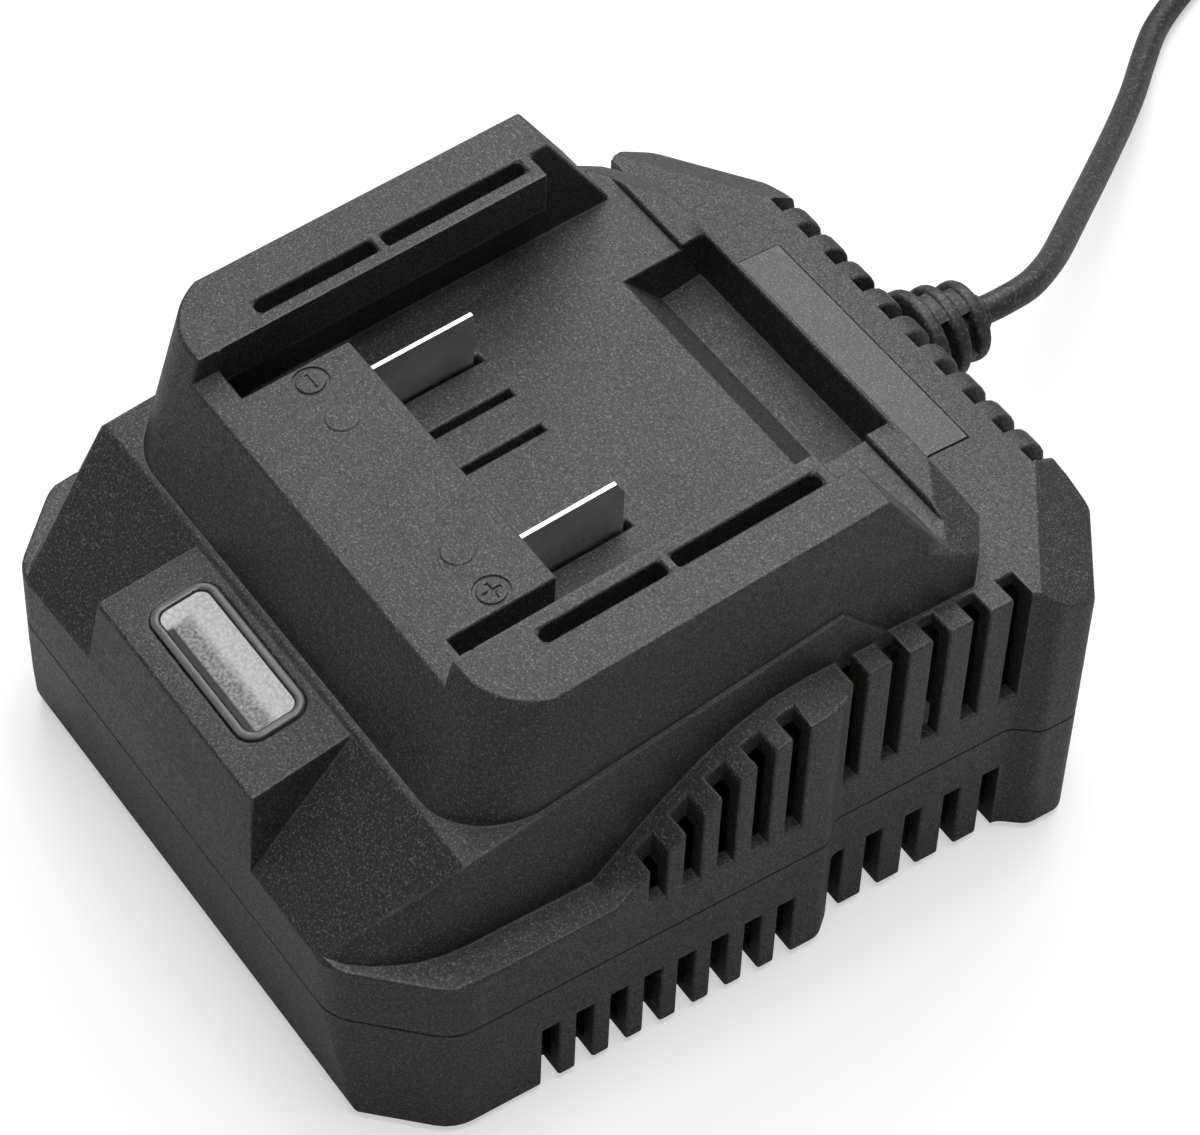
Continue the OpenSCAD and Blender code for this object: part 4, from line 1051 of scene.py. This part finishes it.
for number, rib_radius in enumerate(RIB_RADII[1:]):
    start = RIB_START + number * RIB_PITCH + RIB_WIDTH - RELIEF_WEB_OVERLAP
    end = start + RIB_PITCH - RIB_WIDTH + 2 * RELIEF_WEB_OVERLAP
    for degrees in RELIEF_WEB_DEGREES:
        skin(relief_work, relief_web(degrees, rib_radius - 0.0003, start, end), smooth=False)
bend_relief = add_piece("bend_relief", finished_mesh(relief_work, "bend_relief"),
                        [lead_rubber], ["strain_relief"])
print("relief points:", len(profile))

# %% [markdown]
# Four rubber feet sit in shallow wells below the base. Each is a low button with a rounded
# rim and a dished face, so that it grips with its outer ring.

# %% Rubber feet
FOOT_PLACES = [(x, y) for x in (-0.030, 0.030) for y in (-0.0514, 0.0486)]
FOOT_RADIUS = 0.005
FOOT_HEIGHT = 0.0018
FOOT_DISH = 0.0003
FOOT_STEPS = 32
feet_work = bmesh.new()
foot_profile = [(0, FOOT_DISH), (FOOT_RADIUS * 0.55, FOOT_DISH), (FOOT_RADIUS * 0.65, 0.0)]
foot_profile += rounded_rim(FOOT_RADIUS, 0.0, FOOT_HEIGHT, 0.0005)
foot_profile.append((0, FOOT_HEIGHT))
for x, y in FOOT_PLACES:
    merge_into(feet_work, turned(foot_profile, FOOT_STEPS), Matrix.Translation((x, y, 0)))
add_piece("rubber_buttons", finished_mesh(feet_work, "rubber_buttons"),
          [foot_rubber], ["rubber_feet"])
print("feet:", len(FOOT_PLACES))

# %% [markdown]
# Screws repeat, so a Geometry Nodes tree makes them: a cylinder head with a cross recess cut
# in it and a threaded shank, set on the points of a small mesh. Its sizes are named inputs,
# and every set of screws in the charger uses the same tree with its own values. The head
# comes first.

# %% Screw head
SCREW_SIZES = ("Head Radius", "Head Height", "Shank Radius", "Length", "Thread Pitch")
HEAD_STEPS = 32
RECESS_LENGTH = 1.15
RECESS_WIDTH = 0.24
RECESS_DEPTH = 0.9

screw_tree = bpy.data.node_groups.new("screw set", "GeometryNodeTree")
for label, way, kind in (("Geometry", "INPUT", "Geometry"),
                         *((label, "INPUT", "Float") for label in SCREW_SIZES),
                         ("Material", "INPUT", "Material"), ("Geometry", "OUTPUT", "Geometry")):
    screw_tree.interface.new_socket(name=label, in_out=way, socket_type="NodeSocket" + kind)
given = screw_tree.nodes.new("NodeGroupInput").outputs


def screw_node(kind, **inputs):
    """The first result of a node that is added to the screw tree."""
    return add_node(screw_tree, kind, **inputs).outputs[0]


def times(first, second):
    """The product of two sockets or numbers in the screw tree."""
    return math_node(screw_tree, "MULTIPLY", first, second)


def vector_of(x=0.0, y=0.0, z=0.0):
    """Combines three numbers or sockets in the screw tree."""
    return screw_node("ShaderNodeCombineXYZ", X=x, Y=y, Z=z)


head = screw_node("GeometryNodeMeshCylinder", Vertices=HEAD_STEPS,
                  Radius=given["Head Radius"], Depth=given["Head Height"])
head = screw_node("GeometryNodeTransform", Geometry=head,
                  Translation=vector_of(z=times(given["Head Height"], 0.5)))
recess = [times(given["Head Radius"], share) for share in (RECESS_LENGTH, RECESS_WIDTH)]
recess_depth = times(given["Head Height"], RECESS_DEPTH)
cut = screw_tree.nodes.new("GeometryNodeMeshBoolean")
cut.operation = "DIFFERENCE"
feed(screw_tree, cut.inputs[0], head)
for x, y in (recess, recess[::-1]):
    bar = screw_node("GeometryNodeMeshCube", Size=vector_of(x, y, recess_depth))
    feed(screw_tree, cut.inputs[1], bar)
print("nodes of the head:", len(screw_tree.nodes))

# %% [markdown]
# The thread is a row of rings rather than a true helix: each ring of the shank is drawn in by
# a zigzag of its height. That is enough for screws that sit deep in their wells, and it keeps
# the shank one closed shape.

# %% Screw shank and the whole screw
SHANK_STEPS = 20
SHANK_RINGS = 44
THREAD_DEPTH = 0.36

shank = screw_node("GeometryNodeMeshCylinder", Vertices=SHANK_STEPS, Side_Segments=SHANK_RINGS,
                   Radius=given["Shank Radius"], Depth=given["Length"])
shank_middle = math_node(screw_tree, "ADD", given["Head Height"], times(given["Length"], 0.5))
shank = screw_node("GeometryNodeTransform", Geometry=shank,
                   Translation=vector_of(z=shank_middle))
place = screw_tree.nodes.new("GeometryNodeInputPosition").outputs[0]
apart = add_node(screw_tree, "ShaderNodeSeparateXYZ", Vector=place).outputs
turns = math_node(screw_tree, "DIVIDE", apart["Z"], given["Thread Pitch"])
groove = times(math_node(screw_tree, "PINGPONG", turns, 0.5), THREAD_DEPTH)
shrink = math_node(screw_tree, "SUBTRACT", 1.0, groove)
threaded = vector_of(times(apart["X"], shrink), times(apart["Y"], shrink), apart["Z"])
shank = screw_node("GeometryNodeSetPosition", Geometry=shank, Position=threaded)

one_screw = screw_tree.nodes.new("GeometryNodeJoinGeometry")
for half in (shank, cut.outputs["Mesh"]):
    feed(screw_tree, one_screw.inputs[0], half)
placed = screw_node("GeometryNodeInstanceOnPoints", Points=given["Geometry"],
                    Instance=one_screw.outputs[0])
real = screw_node("GeometryNodeRealizeInstances", Geometry=placed)
coated = screw_node("GeometryNodeSetMaterial", Geometry=real, Material=given["Material"])
feed(screw_tree, screw_tree.nodes.new("NodeGroupOutput").inputs[0], coated)
print("screw tree nodes:", len(screw_tree.nodes))

# %% [markdown]
# A set is a mesh of bare points with the tree as its modifier. The inputs are set by the
# sockets' identifiers before the object is evaluated. Screws that are driven downwards are
# built upside down about their own height and then turned over. Each row of the table states
# the piece, its node, the points, the way it is driven and the five sizes.

# %% Screw sets
SCREW_SETS = (
    ("case_screws", "housing_screws",
     [(-0.044, -0.0474, 0.0066), (0.044, -0.0474, 0.0066),
      (-0.040, 0.0496, 0.0066), (0.040, 0.0496, 0.0066)], False,
     (0.003, 0.0024, 0.0015, 0.0186, 0.0012)),
    ("tray_screws", "board_screws",
     [(x, y, 0.0112) for x in (-0.034, 0.034) for y in (-0.0474, 0.0396)], True,
     (0.0025, 0.0016, 0.001, 0.0050, 0.0008)),
    ("clamp_pair", "clamp_screws",
     [(-0.0125, 0.0511, 0.0314), (0.0005, 0.0511, 0.0314)], False,
     (0.0024, 0.0016, 0.0012, 0.0090, 0.0010)),
)
for name, node_name, points, downward, sizes in SCREW_SETS:
    flip = -1 if downward else 1
    mesh = bpy.data.meshes.new(name)
    mesh.from_pydata([(x, flip * y, flip * z) for x, y, z in points], [], [])
    holder = new_object(name, mesh)
    modifier = holder.modifiers.new("screws", "NODES")
    modifier.node_group = screw_tree
    values = {**dict(zip(SCREW_SIZES, sizes)), "Material": screw_zinc}
    for item in screw_tree.interface.items_tree:
        if item.in_out == "INPUT" and item.name in values:
            modifier[item.identifier] = values[item.name]
    result = evaluated_mesh(holder)
    if downward:
        result.transform(Matrix.Rotation(math.pi, 4, "X"))
    add_piece(name, result, [screw_zinc], [node_name])
    print(name, "faces:", len(result.polygons))

# %% [markdown]
# The tie round the coil is a strap that goes over all turns. Its section is carried round a
# rounded rectangle, and a small buckle sits on top.

# %% Cord tie
TIE_PLACE = (-0.1146, 0.2364)
TIE_HALF_Y = 0.0119
TIE_TOP = 0.0094
TIE_THICK = 0.0008
TIE_HALF_WIDTH = 0.004
TIE_CORNER = 0.0030
TIE_STEPS = 6
BUCKLE_SIZE = (0.0062, 0.0052, 0.0012)
BUCKLE_DROP = 0.0004


def strap_loop(inward, side):
    """Points of a rounded rectangle at one side of the strap, some way in from its outside."""
    corner = TIE_CORNER - inward
    y, low, high = TIE_HALF_Y - TIE_CORNER, TIE_CORNER, TIE_TOP - TIE_CORNER
    points = []
    for quarter, centre in enumerate(((y, high), (-y, high), (-y, low), (y, low))):
        points += quarter_arc(*centre, corner, 90 * quarter, TIE_STEPS)
    return [(TIE_PLACE[0] + side * TIE_HALF_WIDTH, TIE_PLACE[1] + a, b) for a, b in points]


tie_work = skin(bmesh.new(), [strap_loop(0, -1), strap_loop(0, 1), strap_loop(TIE_THICK, 1),
                              strap_loop(TIE_THICK, -1)], loop=True)
buckle_place = Matrix.Translation((*TIE_PLACE, TIE_TOP - BUCKLE_DROP))
bmesh.ops.create_cube(tie_work, size=1.0,
                      matrix=buckle_place @ Matrix.Diagonal((*BUCKLE_SIZE, 1.0)))
coil_strap = add_piece("coil_strap", softened_mesh(tie_work, "coil_strap", 0.0002),
                       [plug_black], ["cord_tie"])

# %% [markdown]
# The plug is lofted through rounded sections: a flat body that narrows towards the lead, with
# shallow grip grooves, and a relief that tapers down to the lead. Each section stays above
# the floor, because the plug lies on it. A row states where a section lies along Y, half its
# width and height, the height of its middle, and how square it is.

# %% Plug body
PLUG_X = -0.1498
PLUG_SECTIONS = (
    (0.1338, 0.0108, 0.0064, 0.0075, 4.0), (0.1343, 0.0116, 0.0071, 0.0075, 4.0),
    (0.1360, 0.0120, 0.0075, 0.0075, 4.0), (0.1440, 0.0120, 0.0075, 0.0075, 4.0),
    (0.1460, 0.0118, 0.0073, 0.0075, 4.0), (0.1466, 0.0111, 0.0068, 0.0074, 4.0),
    (0.1478, 0.0111, 0.0068, 0.0073, 4.0), (0.1484, 0.0115, 0.0071, 0.0073, 4.0),
    (0.1496, 0.0112, 0.0070, 0.0072, 3.8), (0.1502, 0.0105, 0.0065, 0.0070, 3.8),
    (0.1514, 0.0104, 0.0064, 0.0069, 3.8), (0.1520, 0.0107, 0.0067, 0.0069, 3.6),
    (0.1532, 0.0103, 0.0065, 0.0067, 3.6), (0.1538, 0.0095, 0.0060, 0.0065, 3.4),
    (0.1550, 0.0093, 0.0059, 0.0063, 3.2), (0.1570, 0.0088, 0.0057, 0.0060, 3.0),
    (0.1600, 0.0074, 0.0052, 0.0055, 2.6), (0.1625, 0.0058, 0.0047, 0.0050, 2.3),
    (0.1644, 0.0046, 0.0043, 0.0045, 2.0), (0.1680, 0.0040, 0.0039, 0.0040, 2.0),
    (0.1740, 0.0034, 0.0034, 0.0035, 2.0), (0.1820, 0.0027, 0.0027, 0.0028, 2.0),
    (0.1836, 0.0023, 0.0023, 0.0025, 2.0))
PLUG_STEPS = 36
PLUG_TURN = math.radians(50)


def squared_ring(y, half_width, half_height, height, power):
    """A ring of points on a superellipse across the Y axis."""
    ring = []
    for step in range(PLUG_STEPS):
        angle = 2 * math.pi * step / PLUG_STEPS
        c, s = math.cos(angle), math.sin(angle)
        a = math.copysign(abs(c) ** (2 / power), c) * half_width
        b = math.copysign(abs(s) ** (2 / power), s) * half_height
        ring.append((PLUG_X + a, y, height + b))
    return ring


plug_work = skin(bmesh.new(), [squared_ring(*section) for section in PLUG_SECTIONS])
mains_plug = add_piece("mains_plug", finished_mesh(plug_work, "mains_plug", PLUG_TURN),
                       [plug_black], ["plug_body"])
mains_pins = soft_piece("mains_pins", "plug_pins", blade_nickel, 0.0005, "contact_metal")

# %% [markdown]
# The lead takes its rubber jacket and rides on the body. It runs from the relief at one end to
# the tie and the plug at the other, and stands for the three stretches that the frame holds as
# solids, which are hidden.

mains_lead.data.materials.append(lead_rubber)
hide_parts("power_cord", "cord_coil", "cord_tail")
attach(mains_lead, "root")

# %% [markdown]
# Inside, three cans stand on the board. A capacitor is an aluminium can in a printed sleeve:
# the sleeve is rolled over the rim, and the bare top sits a little lower inside it. A groove
# near the foot holds the seal. One function turns them all.

# %% Capacitors
BOARD_TOP = 0.0096
CAN_STEPS = 36
CAN_GROOVE_HEIGHT = 0.12
CAN_GROOVE_RADIUS = 0.93
CANS = (
    ("input_can", "input_capacitor", [(-0.025, 0.0286)], 0.0090, 0.026),
    ("output_cans", "output_capacitors", [(0.031, -0.0314), (0.031, -0.0194)], 0.0050, 0.020),
)


def capacitor(radius, height):
    """A sleeved can with a rolled rim and a bare top."""
    low, top = BOARD_TOP, BOARD_TOP + height
    groove = low + CAN_GROOVE_HEIGHT * height
    waist = radius * CAN_GROOVE_RADIUS
    work = turned([(0, low), *rounded_rim(radius, low, groove, 0.0005, 3),
                   (waist, groove + 0.0003), (waist, groove + 0.0008),
                   (radius, groove + 0.0012), (radius, top - 0.0006),
                   (radius - 0.0003, top), (radius - 0.0010, top),
                   (radius - 0.0012, top - 0.0003), (0, top - 0.0003)], CAN_STEPS)
    for face in work.faces:
        middle = face.calc_center_median()
        if middle.z > top - 0.0004 and math.hypot(middle.x, middle.y) < radius - 0.0011:
            face.material_index = 1
    return work


for name, node_name, places, radius, height in CANS:
    cans_work = bmesh.new()
    for x, y in places:
        merge_into(cans_work, capacitor(radius, height), Matrix.Translation((x, y, 0)))
    add_piece(name, finished_mesh(cans_work, name), [sleeve_blue, sink_aluminium],
              [node_name])
    print(name, "cans:", len(places))

# %% [markdown]
# The choke is a ring of ferrite with enamelled wire wound round it. A curve that circles a
# ring while it runs round it is the whole recipe, and its bevel gives the wire its thickness.

# %% Filter choke
CHOKE_CENTRE = Vector((0.024, 0.0226, 0.0131))
CHOKE_RING = 0.0062
CHOKE_TUBE = 0.0023
CHOKE_TURNS = 28
CHOKE_TURN_STEPS = 18
CHOKE_CORE_STEPS = 48
CHOKE_WIRE = 0.00045


def wound_points(tube_radius, turns, count):
    """Points of a wire wound round a ring, or of the ring itself without turns."""
    points = []
    for step in range(count):
        run = 2 * math.pi * step / count
        wind = turns * run
        radius = CHOKE_RING + tube_radius * math.cos(wind)
        points.append(CHOKE_CENTRE + Vector((radius * math.cos(run), radius * math.sin(run),
                                             tube_radius * math.sin(wind))))
    return points


def closed_tube(name, points, radius, resolution):
    """A round wire that meets its own start, as a plain mesh."""
    curve = wire_curve(name, points, radius, resolution)
    curve.splines[0].use_cyclic_u = True
    mesh = evaluated_mesh(new_object(name, curve))
    for polygon in mesh.polygons:
        polygon.use_smooth = True
    return mesh


winding = wound_points(CHOKE_TUBE, CHOKE_TURNS, CHOKE_TURNS * CHOKE_TURN_STEPS)
core = wound_points(0, 0, CHOKE_CORE_STEPS)
add_piece("choke_wire", closed_tube("choke_wire", winding, CHOKE_WIRE, 2),
          [copper_turns], ["filter_choke"])
add_piece("choke_core", closed_tube("choke_core", core, CHOKE_TUBE - CHOKE_WIRE, 4),
          [ferrite_grey], [])
print("choke turns:", CHOKE_TURNS)

# %% [markdown]
# Straight-edged parts inside need only their own small radius. Cut ferrite has crisp edges,
# sheet metal a slight one, and moulded cases a little more.

# %% Softened inside parts
INSIDE_PARTS = (
    ("mains_core", "transformer_core", ferrite_grey, 0.0004, "ferrite"),
    ("coil_former", "transformer_bobbin", bobbin_yellow, 0.0004, "component_plastic"),
    ("wound_turns", "transformer_winding", copper_turns, 0.0012, "copper_winding"),
    ("filter_block", "filter_capacitor", bobbin_yellow, 0.0006, "component_plastic"),
    ("bridge_block", "bridge_rectifier", chip_black, 0.0004, "chip_epoxy"),
    ("switch_block", "power_transistor", chip_black, 0.0004, "chip_epoxy"),
    ("diode_block", "rectifier_diode", chip_black, 0.0004, "chip_epoxy"),
    ("control_chips", "controller_chips", chip_black, 0.0002, "chip_epoxy"),
    ("input_sink", "primary_heat_sink", sink_aluminium, 0.0003, "sink_aluminium"),
    ("output_sink", "secondary_heat_sink", sink_aluminium, 0.0003, "sink_aluminium"),
    ("main_panel", "main_board", solder_mask, 0.00015, "circuit_board"),
    ("lamp_panel", "led_board", solder_mask, 0.00015, "circuit_board"),
    ("lamp_strip", "light_diffuser", diffuser_white, 0.0003, "diffuser_plastic"),
    ("lamp_ribbon", "led_ribbon", ribbon_grey, 0.0001, "ribbon_cable"),
    ("lamp_caps", "status_leds", lamp_cap, 0.00015, "led_epoxy"),
    ("glass_fuse", "mains_fuse", fuse_glass, 0.0002, "fuse_glass"),
)
for part in INSIDE_PARTS:
    soft_piece(*part)

# %% [markdown]
# What is left keeps its solid as it is, the wires that run from the board, and takes a
# material of its own.

# %% Wires
WIRE_FINISH = {"output_leads": wire_brown, "input_leads": wire_brown, "inner_cord": lead_rubber}
for node_name, finish in WIRE_FINISH.items():
    mesh = bpy.data.objects[node_name].data
    mesh.materials.clear()
    mesh.materials.append(finish)
print("kept solids:", len(WIRE_FINISH))
